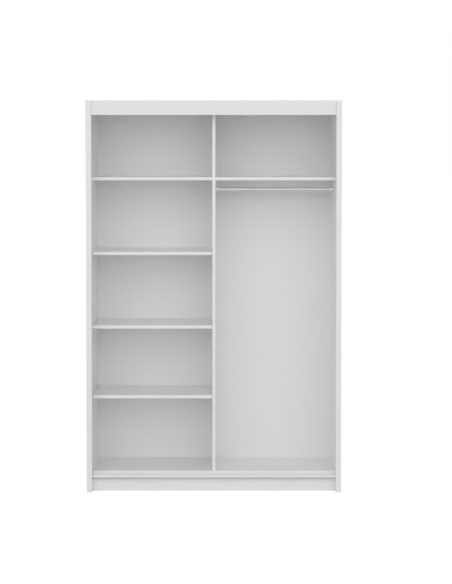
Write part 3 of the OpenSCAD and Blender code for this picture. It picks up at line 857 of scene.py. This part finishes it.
def screw_bores_in(board_box):
    """Cutters for the shanks and the heads of the assembly screws in one board."""
    detail = sizes()
    screws = [box for box in solids_of("assembly_screws") if overlaps(box, board_box)]
    shanks, heads = [], []
    for box in screws:
        head = twin(box)
        if box[0].z < middle(CAD_BOX).z:
            head[1].z = box[0].z + detail.long_head
        else:
            head[0].z = box[1].z - detail.long_head
        shanks.append(bore(box, Z, detail.long_shank, detail.round_steps))
        heads.append(bore(head, Z, across(box) / 2, detail.round_steps))
    return [shanks, heads]


def peg_bores_in(board_box, node):
    """Cutters for the pegs of the shelf pins and the spare holes above and below them."""
    detail = sizes()
    cutters = []
    for point, side in pin_frames():
        if (side == LEFT) != (node == "side_panel_left"):
            continue
        for step in (-1, 0, 1):
            centre = point + Vector((0, 0, step * detail.hole_pitch - detail.pin_collar))
            inner, outer = centre.copy(), centre.copy()
            inner.x += side[1] * detail.pin_bore
            outer.x -= side[1] * detail.bore_gap
            low, high = Vector(map(min, inner, outer)), Vector(map(max, inner, outer))
            cutters.append(bore((low, high), X, detail.pin_peg, sides=24))
    return [cutters]


def peel(box, side, thickness):
    """Splits a box into a strip on one side and what is left."""
    axis, sign = side
    strip, rest = twin(box), twin(box)
    if sign > 0:
        strip[0][axis] = rest[1][axis] = box[1][axis] - thickness
    else:
        strip[1][axis] = rest[0][axis] = box[0][axis] + thickness
    return strip, rest


def ends(mesh, edge):
    """The places of an edge's two ends."""
    return [mesh.vertices[v].co for v in edge.vertices]


def edge_band(box, side):
    """One glued band, with its outer edges trimmed round and its inner edges left sharp."""
    band = block("band", *box)
    outer = level(box, side)
    return bevel_edges(band, sizes().edge_radius, 3, lambda edge: all(
        abs(end[side[0]] - outer) < NEAR for end in ends(band.data, edge)))


def make_board(node):
    """A board with its bores and bevels, and its edge bands as a second piece."""
    detail = sizes()
    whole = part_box(node)
    core, strips = whole, []
    for side in BANDED_SIDES[node]:
        strip, core = peel(core, side, detail.band)
        strips.append((strip, side))
    board = block(f"{node}_board", *core)
    if node == "centre_support":
        cut(board, notch_cutter(whole))
    bevel_edges(board, detail.seam, 1)
    passes = bores_in(core) + screw_bores_in(core)
    if node in ("side_panel_left", "centre_partition"):
        passes += peg_bores_in(core, node)
    for cutters in passes:
        if cutters:
            cut(board, joined("bores", cutters))
    if node == "track_bearer":
        countersinks(board, "bearer_screws", UP)
    paint_bare_edges(board, core, node)
    smooth(board)
    colours = looks()
    # The bearer's board and edge band take the dark bearer colour. This is painted shade for the
    # shadow line under the bottom track's apron.
    painted_shade_board = node == "track_bearer"
    face = material(
        f"melamine_{node}", melamine, colours.bearer if painted_shade_board else colours.board, *whole)
    chips = material("bare_chipboard", bare_chipboard, colours.chips)
    finish_piece(board, node, face, chips)
    if strips:
        bands = [edge_band(strip, side) for strip, side in strips]
        band = smooth(joined(f"{node}_edge_band", bands))
        plastic = material(
            f"band_{node}", band_plastic, colours.bearer if painted_shade_board else colours.band, *whole)
        finish_piece(band, node, plastic, stands=False)


def notch_cutter(box):
    """The cutter for the step in the centre support's front, which passes under the bearer."""
    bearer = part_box("track_bearer")
    over = 0.01  # how far the cutter stands out all round
    return block("notch", (box[0].x - over, bearer[0].y - over, bearer[0].z),
                 (box[1].x + over, bearer[1].y, box[1].z + over))


def paint_bare_edges(board, core, node):
    """Gives the sawn edges that carry no band, and the walls of the bores, to the second slot."""
    thin = short_axis(core)
    reach = 2 * sizes().seam  # how far in from a side a face still counts as lying on it
    for face in board.data.polygons:
        axis = max(range(3), key=lambda n: abs(face.normal[n]))
        side = (axis, 1 if face.normal[axis] > 0 else -1)
        on_side = abs(face.center[axis] - level(core, side)) < reach
        covered = axis == thin or side in BANDED_SIDES[node]
        face.material_index = 0 if on_side and covered else 1


class WARDROBE_OT_boards(bpy.types.Operator):
    """Make the boards, bored for their fittings, and their edge bands"""

    bl_idname = "wardrobe.boards"
    bl_label = "Boards"

    def execute(self, context):
        for node in BANDED_SIDES:
            make_board(node)
        return {"FINISHED"}


# ---------- fittings ----------

def threads(start, end, core, crest, pitch):
    """Steps for turned() that make the rings of a screw's thread between two heights."""
    steps = []
    for n in range(int((end - start) / pitch)):
        height = start + n * pitch
        steps += [(height, core), (height + pitch / 2, crest)]
    return steps + [(end, core)]


def cross_cutter(width, depth):
    """A cross recess's cutter, down into a head whose face is at the origin."""
    half, thin, taper = width / 2, width / 10, 0.6
    first = block("cross", (-half, -thin, -depth / 2), (half, thin, depth))
    second = block("cross", (-thin, -half, -depth / 2), (thin, half, depth))
    add(first, second)
    pick(first, "FACE", lambda face: face.normal.z > FACING)
    bpy.ops.transform.resize(value=(taper, taper, 1), center_override=(0, 0, depth))
    leave_edit()
    return first


def merged_copy(node, name):
    """A copy of a CAD node's mesh with its loose triangles merged."""
    piece = frame["nodes"][node].copy()
    piece.data = piece.data.copy()
    piece.name = name
    bpy.context.scene.collection.objects.link(piece)
    piece.parent = None
    piece.hide_render = False
    piece.hide_viewport = False
    only(piece)
    bpy.ops.object.mode_set(mode="EDIT")
    bpy.ops.mesh.select_mode(type="VERT")
    bpy.ops.mesh.select_all(action="SELECT")
    bpy.ops.mesh.remove_doubles(threshold=NEAR)
    flat = math.radians(0.5)  # faces that bend less than this become one
    bpy.ops.mesh.dissolve_limited(angle_limit=flat)
    bpy.ops.mesh.normals_make_consistent(inside=False)
    leave_edit()
    return piece


def place_all(node, name, master, directions, *materials):
    """Puts a copy of a master at each solid of a node. directions(box) is the way it points."""
    matrices = []
    for box in solids_of(node):
        direction = directions(box)
        matrices.append(pointing(direction, end_point(box, opposite(direction))))
    piece = smooth(copies(name, master, matrices))
    return finish_piece(piece, node, *materials)


class WARDROBE_OT_back_sheets(bpy.types.Operator):
    """Make the two back sheets, lacquered in front and bare behind"""

    bl_idname = "wardrobe.back_sheets"
    bl_label = "Back sheets"

    def execute(self, context):
        detail = sizes()
        for side in ("left", "right"):
            node = f"back_sheet_{side}"
            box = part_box(node)
            sheet = bevel_edges(block(f"{node}_board", *box), detail.sheet_edge, 2)
            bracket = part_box(f"wall_bracket_{side}")
            centre = middle(bracket)
            hole_z = bracket[0].z + detail.bracket_hole_rise
            low = Vector((centre.x, box[0].y - detail.seam, hole_z))
            high = Vector((centre.x, box[1].y + detail.seam, hole_z))
            cut(sheet, bore((low, high), Y, detail.sheet_hole, detail.round_steps))
            for face in sheet.data.polygons:
                face.material_index = 0 if face.normal.y < -FACING else 1
            smooth(sheet)
            front = material("lacquered_sheet", lacquer, looks().sheet)
            rear = material("bare_fibreboard", bare_fibreboard, looks().fibre)
            finish_piece(sheet, node, front, rear)
        return {"FINISHED"}


def split_across(piece, places):
    """Cuts the faces of a piece along planes across Y."""
    only(piece)
    bpy.ops.object.mode_set(mode="EDIT")
    for place in places:
        bpy.ops.mesh.select_mode(type="FACE")
        bpy.ops.mesh.select_all(action="SELECT")
        bpy.ops.mesh.bisect(plane_co=(0, place, 0), plane_no=(0, 1, 0))
    leave_edit()


def pull_strips(piece, strips, sign, rise):
    """Extrudes the strips of a plate that lie between pairs of Y, up or down."""
    def in_strip(face):
        return face.normal.z * sign > FACING and any(
            low < face.center.y < high for low, high in strips)

    pick(piece, "FACE", in_strip)
    bpy.ops.mesh.extrude_region_move(TRANSFORM_OT_translate={"value": (0, 0, sign * rise)})
    leave_edit()


def along_x_at(mesh, edge, test):
    """Whether an edge runs along X and both its ends pass a test."""
    a, b = ends(mesh, edge)
    return (a.yz - b.yz).length < NEAR and test(a) and test(b)


def countersinks(piece, node, direction):
    """Cuts the seats of countersunk screws out of a piece."""
    detail = sizes()
    gap, head, shank = detail.bore_gap, detail.screw_head, detail.screw_shank
    seat = detail.screw_seat
    cutters = []
    for box in solids_of(node):
        profile = [(-gap, head + gap), (seat, shank + gap), (5 * seat, shank + gap)]
        cutter = turned("seat", profile, detail.round_steps)
        cutter.data.transform(pointing(direction, end_point(box, opposite(direction))))
        cutters.append(cutter)
    return cut(piece, joined("seats", cutters))


class WARDROBE_OT_tracks(bpy.types.Operator):
    """Make the door tracks by pulling ribs out of plates, and the rubber end stops"""

    bl_idname = "wardrobe.tracks"
    bl_label = "Door tracks and stops"

    def execute(self, context):
        metal = material("lacquered_aluminium", lacquered_metal, looks().track)
        self.top_track(metal)
        self.bottom_track(metal)
        self.end_stops()
        return {"FINISHED"}

    def top_track(self, metal):
        detail = sizes()
        low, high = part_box("top_door_track")
        wall = detail.top_wall
        lane = (high.y - low.y - wall) / 2
        legs = [(low.y + n * lane, low.y + n * lane + wall) for n in range(3)]
        track = block("top_door_track_extrusion", (low.x, low.y, high.z - wall), high)
        split_across(track, [legs[0][1], *legs[1], legs[2][0]])
        pull_strips(track, legs, -1, high.z - wall - low.z)
        bevel_edges(track, detail.track_edge, 2, lambda edge: along_x_at(
            track.data, edge, lambda p: p.z < low.z + NEAR or p.z > high.z - NEAR and
            (p.y < low.y + NEAR or p.y > high.y - NEAR)))
        inner = high.z - wall
        bevel_edges(track, detail.track_fillet, 3, lambda edge: along_x_at(
            track.data, edge, lambda p: abs(p.z - inner) < NEAR))
        countersinks(track, "top_track_screws", UP)
        finish_piece(smooth(track), "top_door_track", metal)

    def bottom_track(self, metal):
        detail = sizes()
        low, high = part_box("bottom_door_track")
        bearer_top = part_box("track_bearer")[1].z
        plate_top = bearer_top + detail.bottom_plate
        lip = (low.y, low.y + detail.bottom_plate)
        ribs = [(y - detail.rib / 2, y + detail.rib / 2) for y in self.lanes()]
        track = block(
            "bottom_door_track_extrusion", (low.x, low.y, bearer_top), (high.x, high.y, plate_top))
        split_across(track, [lip[1], *ribs[0], *ribs[1]])
        pull_strips(track, [lip], -1, bearer_top - low.z)
        pull_strips(track, [lip], 1, detail.lip)
        pull_strips(track, ribs, 1, high.z - plate_top)
        crown = 0.97 * detail.rib / 2  # a rib's top is rounded over nearly its whole width
        bevel_edges(track, crown, 5, lambda edge: along_x_at(
            track.data, edge, lambda p: p.z > high.z - NEAR))
        lip_top = plate_top + detail.lip
        bevel_edges(track, detail.track_edge, 2, lambda edge: along_x_at(
            track.data, edge, lambda p: p.y < lip[1] + NEAR and
            (abs(p.z - lip_top) < NEAR or p.z < low.z + NEAR)))
        countersinks(track, "bottom_track_screws", DOWN)
        finish_piece(smooth(track), "bottom_door_track", metal)

    def lanes(self):
        """The middle of each of the two lanes, in which the doors run."""
        low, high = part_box("top_door_track")
        quarter = (high.y - low.y - sizes().top_wall) / 4
        return [low.y + sizes().top_wall / 2 + n * quarter for n in (1, 3)]

    def end_stops(self):
        detail = sizes()
        made = []
        for box in solids_of("track_end_stops"):
            stop = bevel_edges(block("stop", *box), detail.stop_edge, 3)
            inward = -1 if middle(box).x > 0 else 1
            pick(stop, "FACE", lambda face: face.normal.x * inward > FACING)
            bpy.ops.mesh.inset(thickness=detail.stop_rim)
            bpy.ops.transform.translate(value=(-inward * detail.stop_dish, 0, 0))
            leave_edit()
            made.append(stop)
        rubber = material("black_rubber", moulded, looks().rubber, 0.6, 0.00006)
        finish_piece(smooth(joined("track_end_stop_buffers", made)), "track_end_stops", rubber)


class WARDROBE_OT_rail(bpy.types.Operator):
    """Make the hanging rail's tube"""

    bl_idname = "wardrobe.rail"
    bl_label = "Hanging rail"

    def execute(self, context):
        detail = sizes()
        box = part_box("hanging_rail")
        radius = (box[1].z - box[0].z) / 2
        length = box[1].x - box[0].x
        edge, wall = detail.rail_edge, detail.rail_wall
        sides = 72
        tube = turned("hanging_rail_tube", [
            (0, radius - edge), (edge, radius), (length - edge, radius),
            (length, radius - edge)], sides)
        cut(tube, turned("hollow", [(-edge, radius - wall), (length + edge, radius - wall)], sides))
        tube.data.transform(pointing(RIGHT, end_point(box, LEFT)))
        finish_piece(smooth(tube), "hanging_rail", chrome_plate())
        return {"FINISHED"}


class WARDROBE_OT_brackets(bpy.types.Operator):
    """Make the rail's sockets and the wall brackets, with their edges eased"""

    bl_idname = "wardrobe.brackets"
    bl_label = "Sockets and brackets"

    def execute(self, context):
        detail = sizes()
        for node in ("rail_socket_left", "rail_socket_right"):
            self.eased(node, f"{node}_casting", detail.socket_edge, chrome_plate())
        for node in ("wall_bracket_left", "wall_bracket_right"):
            self.eased(node, f"{node}_pressing", detail.bracket_edge, zinc_plate())
        return {"FINISHED"}

    def eased(self, node, name, width, metal):
        piece = merged_copy(node, name)
        apply_modifier(piece, "BEVEL", width=width, segments=2, limit_method="ANGLE",
                       angle_limit=math.radians(40), use_clamp_overlap=True)
        finish_piece(smooth(piece), node, metal)


class WARDROBE_OT_shelf_pins(bpy.types.Operator):
    """Make the shelf pins: a peg and collar with a flat tongue"""

    bl_idname = "wardrobe.shelf_pins"
    bl_label = "Shelf pins"

    def execute(self, context):
        detail = sizes()
        peg, collar = detail.pin_peg, detail.pin_collar
        thick, ease = detail.pin_collar_depth, detail.pin_ease
        box = solids_of("shelf_pins")[0]
        depth = box[1].x - box[0].x - detail.pin_tongue
        pin = turned("pin", [
            (-depth, peg - 2 * ease), (-depth + 2 * ease, peg), (0, peg), (0, collar),
            (thick - ease, collar), (thick, collar - ease)], detail.round_steps)
        pin.data.transform(pointing(RIGHT, (0, 0, -collar)))
        half = (box[1].y - box[0].y) / 2
        tongue = block("tongue", (0, -half, -detail.pin_tongue_depth), (detail.pin_tongue, half, 0))

        def at_tip(edge):
            """Whether an edge stands upright at the tongue's tip."""
            a, b = ends(tongue.data, edge)
            return min(a.x, b.x) > detail.pin_tongue - NEAR and abs(a.z - b.z) > NEAR

        bevel_edges(tongue, half / 2, 4, at_tip)
        bevel_edges(tongue, ease, 1)
        add(pin, tongue)
        turn = Matrix.Rotation(math.pi, 4, "Z")
        matrices = []
        for point, side in pin_frames():
            move = Matrix.Translation(point)
            matrices.append(move if side == LEFT else move @ turn)
        finish_piece(smooth(copies("shelf_pin_set", pin, matrices)), "shelf_pins", zinc_plate())
        return {"FINISHED"}


class WARDROBE_OT_cams(bpy.types.Operator):
    """Make the cam fittings: housings, bolts and the caps over the ones in sight"""

    bl_idname = "wardrobe.cams"
    bl_label = "Cam fittings"

    def execute(self, context):
        self.housings()
        self.bolts()
        self.caps()
        return {"FINISHED"}

    def housings(self):
        detail = sizes()
        cams = solids_of("cam_housings")
        radius = across(cams[0]) / 2
        height = min(cams[0][1] - cams[0][0])
        ease = detail.cam_edge
        rim = radius * 0.8  # a shallow dish inside the rim
        cam = turned("cam", [
            (ease, rim - ease), (0, rim), (0, radius - ease), (ease, radius),
            (height - ease, radius), (height, radius - ease)], detail.round_steps)
        cut(cam, cross_cutter(radius * 1.2, detail.cam_recess))
        mouth = turned("mouth", [(0, detail.cam_mouth), (2 * radius, detail.cam_mouth)], sides=20)
        mouth.data.transform(pointing(RIGHT, (0, 0, detail.cam_mouth_depth)))
        cut(cam, mouth)
        bolts = solids_of("cam_bolts")
        matrices = [self.cam_place(box, bolts) for box in cams]
        metal = material("die_cast_zinc", die_cast, looks().cast)
        finish_piece(smooth(copies("cam_housing_set", cam, matrices)), "cam_housings", metal)

    def cam_place(self, box, bolts):
        """Where a cam goes: its face flush with its board, and its mouth towards its bolt."""
        axis = short_axis(box)
        board = next(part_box(node) for node in BANDED_SIDES
                     if overlaps(box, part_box(node)) and long_axis(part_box(node)) != axis)
        open_low = abs(box[0][axis] - board[0][axis]) < abs(box[1][axis] - board[1][axis])
        into = Vector([(1 if open_low else -1) if n == axis else 0 for n in range(3)])
        bolt = next(other for other in bolts if overlaps(box, other))
        towards = Vector((1 if middle(bolt).x > middle(box).x else -1, 0, 0))
        turn = Matrix((towards, into.cross(towards), into)).transposed().to_4x4()
        start = end_point(box, (axis, -1 if open_low else 1))
        return Matrix.Translation(start) @ turn

    def bolts(self):
        detail = sizes()
        boxes = solids_of("cam_bolts")
        stem, neck, crest = detail.bolt_stem, detail.bolt_neck, detail.bolt_thread
        ease, inside, collar = detail.cam_edge, detail.bolt_inside, detail.bolt_collar
        root, tip = crest * 0.8, crest * 0.5
        end = boxes[0][1].x - boxes[0][0].x - inside
        head = end - detail.bolt_head
        bolt = turned("bolt", [
            (-inside, tip), *threads(-inside + ease, -ease, root, crest, detail.bolt_pitch),
            (0, root), (0, stem - ease), (ease, stem), (collar, stem), (collar + ease, neck),
            (head - detail.bolt_step, neck), (head, stem), (end - ease, stem),
            (end, stem - ease)], sides=16)
        uprights = ("side_panel_left", "centre_partition", "side_panel_right")
        panels = [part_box(node) for node in uprights]
        matrices = []
        for box in boxes:
            left = any(abs(box[0].x + inside - panel[1].x) < FITS for panel in panels)
            start = box[0].x + inside if left else box[1].x - inside
            place = (start, middle(box).y, middle(box).z)
            matrices.append(pointing(RIGHT if left else LEFT, place))
        finish_piece(smooth(copies("cam_bolt_set", bolt, matrices)), "cam_bolts", zinc_plate())

    def caps(self):
        box = solids_of("cam_cover_caps")[0]
        radius, thick = across(box) / 2, min(box[1] - box[0])
        cap = turned("cap", [
            (0, radius * 0.7), (thick * 0.15, radius * 0.92), (thick * 0.5, radius),
            (thick, radius)], sizes().round_steps)
        place_all("cam_cover_caps", "cam_cap_set", cap, lambda box: UP, white_plastic())


class WARDROBE_OT_dowels(bpy.types.Operator):
    """Make the fluted dowels"""

    bl_idname = "wardrobe.dowels"
    bl_label = "Dowels"

    def execute(self, context):
        detail = sizes()
        lengths = {}
        for box in solids_of("wooden_dowels"):
            axis = long_axis(box)
            lengths.setdefault((axis, round(box[1][axis] - box[0][axis], 4)), []).append(box)
        sets = []
        for (axis, length), boxes in lengths.items():
            dowel = self.dowel(across(boxes[0]) / 2, length, detail.dowel_chamfer)
            places = [pointing((axis, 1), end_point(box, (axis, -1))) for box in boxes]
            sets.append(copies("dowels", dowel, places))
        wood = material("beech_wood", beech_wood, looks().beech)
        dowels = smooth(joined("wooden_dowel_set", sets), math.radians(20))
        finish_piece(dowels, "wooden_dowels", wood)
        return {"FINISHED"}

    def dowel(self, radius, length, chamfer):
        sides, flute = 24, 0.92  # every second column of vertices is drawn in to this share
        dowel = turned("dowel", [
            (0, radius - chamfer), (chamfer, radius), (length - chamfer, radius),
            (length, radius - chamfer)], sides)
        step = math.tau / sides

        def in_flute(vertex):
            column = round(math.atan2(vertex.co.y, vertex.co.x) / step)
            return column % 2 == 1 and vertex.co.xy.length > radius - TOUCH

        pick(dowel, "VERT", in_flute)
        bpy.ops.transform.resize(value=(flute, flute, 1), center_override=(0, 0, 0))
        leave_edit()
        return dowel


def countersunk(length):
    """A countersunk wood screw with a cross recess, its face at the origin, pointing along +Z."""
    detail = sizes()
    head, crest, seat = detail.screw_head, detail.screw_shank, detail.screw_seat
    rim = detail.screw_rim
    neck, root, tip = crest * 0.95, crest * 0.75, crest * 0.15
    screw = turned("screw", [
        (0, head - rim), (rim, head), (seat, neck),
        *threads(seat + detail.screw_plain, length - detail.screw_point, root, crest,
                 detail.screw_pitch),
        (length, tip)], sides=20)
    return cut(screw, cross_cutter(head * 1.1, detail.screw_recess))


def towards_nearest_panel(box):
    """The way the screws of a rail socket point: into the panel beside them."""
    low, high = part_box("hanging_rail")
    return LEFT if middle(box).x < (low.x + high.x) / 2 else RIGHT


class WARDROBE_OT_screws(bpy.types.Operator):
    """Make the small countersunk screws and the long assembly screws"""

    bl_idname = "wardrobe.screws"
    bl_label = "Screws"

    def execute(self, context):
        ways = {
            "top_track_screws": lambda box: UP,
            "bottom_track_screws": lambda box: DOWN,
            "bearer_screws": lambda box: UP,
            "rail_socket_screws": towards_nearest_panel,
            "wall_bracket_screws": lambda box: UP,
        }
        for node, way in ways.items():
            size = max(solids_of(node)[0][1] - solids_of(node)[0][0])
            place_all(node, f"{node}_set", countersunk(size), way, zinc_plate())
        self.assembly_screws()
        return {"FINISHED"}

    def assembly_screws(self):
        detail = sizes()
        box = solids_of("assembly_screws")[0]
        head, length = across(box) / 2, max(box[1] - box[0])
        ease, seat, plain = detail.cam_edge, detail.long_head, detail.long_plain
        crest = detail.long_shank
        root, tip, run_in = crest * 0.72, crest * 0.3, 0.0002
        screw = turned("screw", [
            (0, head - ease), (ease, head), (seat, head), (seat, crest), (plain, crest),
            *threads(plain + run_in, length - detail.long_point, root, crest, detail.long_pitch),
            (length, tip)], sides=24)
        key = detail.hex_key
        cut(screw, turned("key", [(-ease, key), (detail.hex_depth, key)], sides=6))
        middle_z = middle(CAD_BOX).z
        place_all("assembly_screws", "assembly_screw_set", screw,
                  lambda box: UP if box[0].z < middle_z else DOWN, zinc_plate())


class WARDROBE_OT_nails_and_glides(bpy.types.Operator):
    """Make the nails of the back sheets and the nail-on glides"""

    bl_idname = "wardrobe.nails_and_glides"
    bl_label = "Nails and glides"

    def execute(self, context):
        detail = sizes()
        box = solids_of("back_sheet_nails")[0]
        head, length = across(box) / 2, max(box[1] - box[0])
        thick, wire = detail.nail_head, detail.nail_wire
        crown, tip = head * 0.7, wire * 0.1
        nail = turned("nail", [
            (0, crown), (thick / 3, head), (thick, head), (thick, wire),
            (length - 2 * wire, wire), (length, tip)], sides=12)
        place_all("back_sheet_nails", "back_sheet_nail_set", nail, lambda box: FRONT, zinc_plate())
        box = solids_of("floor_glides")[0]
        base, tall = across(box) / 2, max(box[1] - box[0])
        foot, spike = detail.glide_foot, detail.glide_spike
        tip = spike * 0.15
        # The foot is rounded underneath: shares of its height and of its radius.
        sole = [(0, 0.72), (0.12, 0.88), (0.4, 0.99), (0.55, 1), (1, 1)]
        glide = turned("glide", [
            *((foot * rise, base * reach) for rise, reach in sole), (foot, spike),
            (tall - 2 * spike, spike), (tall, tip)], detail.round_steps)
        place_all("floor_glides", "floor_glide_set", glide, lambda box: UP, white_plastic())
        return {"FINISHED"}


# ---------- stage ----------

class WARDROBE_OT_stage(bpy.types.Operator):
    """Make the floor, the light and the camera"""

    bl_idname = "wardrobe.stage"
    bl_label = "Stage"

    def execute(self, context):
        stage = context.scene.wardrobe_stage
        make_floor(stage)
        make_sky(stage)
        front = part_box("side_panel_left")[0].y
        soft_light("key_light", (0, front - stage.key_distance, stage.key_height),
                   (0, front, stage.key_aim), stage.key_width, stage.key_depth, stage.key)
        make_camera(stage, front)
        view = context.scene.view_settings
        view.view_transform = "Standard"
        view.gamma = stage.gamma
        return {"FINISHED"}


def make_floor(stage):
    """A wide matt floor. What the camera sees of it is lifted towards white."""
    bpy.ops.object.select_all(action="DESELECT")
    bpy.ops.mesh.primitive_circle_add(vertices=128, radius=stage.floor_reach, fill_type="NGON")
    floor = bpy.context.object
    floor.name = "floor"
    shade = Shade("pale_floor", Emission_Strength=stage.floor_glow)
    cloud = shade.noise(1.5, 3.0)
    base = shade.mix(cloud, tint(stage.floor, 0.995), tint(stage.floor, 1.005))
    seen = shade.node("ShaderNodeLightPath", output="Is Camera Ray")
    floor.data.materials.append(shade.feed(
        Base_Color=base, Roughness=0.7 + 0.1 * cloud, Emission_Color=seen))


def make_sky(stage):
    """A white sky, brightest straight in front and a little brighter straight behind."""
    world = bpy.data.worlds.new("studio")
    bpy.context.scene.world = world
    world.use_nodes = True
    sky = Tree(world.node_tree)
    way = sky.node("ShaderNodeTexCoord", output="Generated")
    depth, height = sky.part(way, Y), sky.part(way, Z)
    rise, narrowness = stage.glow_rise, 4.0
    ahead = (height * math.sin(rise) - depth * math.cos(rise)).most(0.0) ** narrowness
    behind = depth.most(0.0) ** narrowness
    light = stage.sky + stage.front_glow * ahead + stage.rear_glow * behind
    seen = sky.node("ShaderNodeLightPath", output="Is Camera Ray")
    strength = light + seen * (1.0 - light)
    background = world.node_tree.nodes["Background"].inputs
    sky.put(background["Strength"], strength)
    sky.put(background["Color"], (1.0, 1.0, 1.0, 1.0))


def soft_light(name, place, target, width, height, power):
    """A large rectangular light that faces a point."""
    place, target = Vector(place), Vector(target)
    turn = (target - place).to_track_quat("-Z", "Y").to_euler()
    bpy.ops.object.select_all(action="DESELECT")
    bpy.ops.object.light_add(type="AREA", location=place, rotation=turn)
    lamp = bpy.context.object
    lamp.name = name
    lamp.data.shape = "RECTANGLE"
    lamp.data.size = width
    lamp.data.size_y = height
    lamp.data.energy = power


def make_camera(stage, front):
    bpy.ops.object.select_all(action="DESELECT")
    bpy.ops.object.camera_add(
        location=(stage.eye_x, front - stage.eye_distance, stage.eye_z),
        rotation=(math.pi / 2 - stage.pitch, 0, 0))
    camera = bpy.context.object
    camera.name = "camera"
    camera.data.lens = stage.lens
    camera.data.sensor_width = 36.0
    camera.data.shift_y = stage.shift
    camera.data.clip_end = 200.0
    bpy.context.scene.camera = camera


class WARDROBE_PT_panel(bpy.types.Panel):
    """The wardrobe's pieces and sizes, in the sidebar"""

    bl_idname = "WARDROBE_PT_panel"
    bl_label = "Wardrobe"
    bl_space_type = "VIEW_3D"
    bl_region_type = "UI"
    bl_category = "Wardrobe"

    def draw(self, context):
        layout = self.layout
        for operator in OPERATORS:
            layout.operator(operator.bl_idname)
        for group in (context.scene.wardrobe_sizes, context.scene.wardrobe_looks,
                      context.scene.wardrobe_stage):
            box = layout.box()
            for name in group.__annotations__:
                box.prop(group, name)


OPERATORS = [
    WARDROBE_OT_boards, WARDROBE_OT_back_sheets, WARDROBE_OT_tracks, WARDROBE_OT_rail,
    WARDROBE_OT_brackets, WARDROBE_OT_shelf_pins, WARDROBE_OT_cams, WARDROBE_OT_dowels,
    WARDROBE_OT_screws, WARDROBE_OT_nails_and_glides, WARDROBE_OT_stage]
GROUPS = {"wardrobe_sizes": WardrobeSizes, "wardrobe_looks": WardrobeLooks,
          "wardrobe_stage": WardrobeStage}


def register():
    for group in GROUPS.values():
        bpy.utils.register_class(group)
    for name, group in GROUPS.items():
        setattr(bpy.types.Scene, name, PointerProperty(type=group))
    for operator in OPERATORS:
        bpy.utils.register_class(operator)
    bpy.utils.register_class(WARDROBE_PT_panel)


def unregister():
    bpy.utils.unregister_class(WARDROBE_PT_panel)
    for operator in reversed(OPERATORS):
        bpy.utils.unregister_class(operator)
    for name, group in GROUPS.items():
        delattr(bpy.types.Scene, name)
        bpy.utils.unregister_class(group)


def main():
    register()
    for operator in OPERATORS:
        family, name = operator.bl_idname.split(".")
        getattr(getattr(bpy.ops, family), name)()


if __name__ == "__main__":
    main()
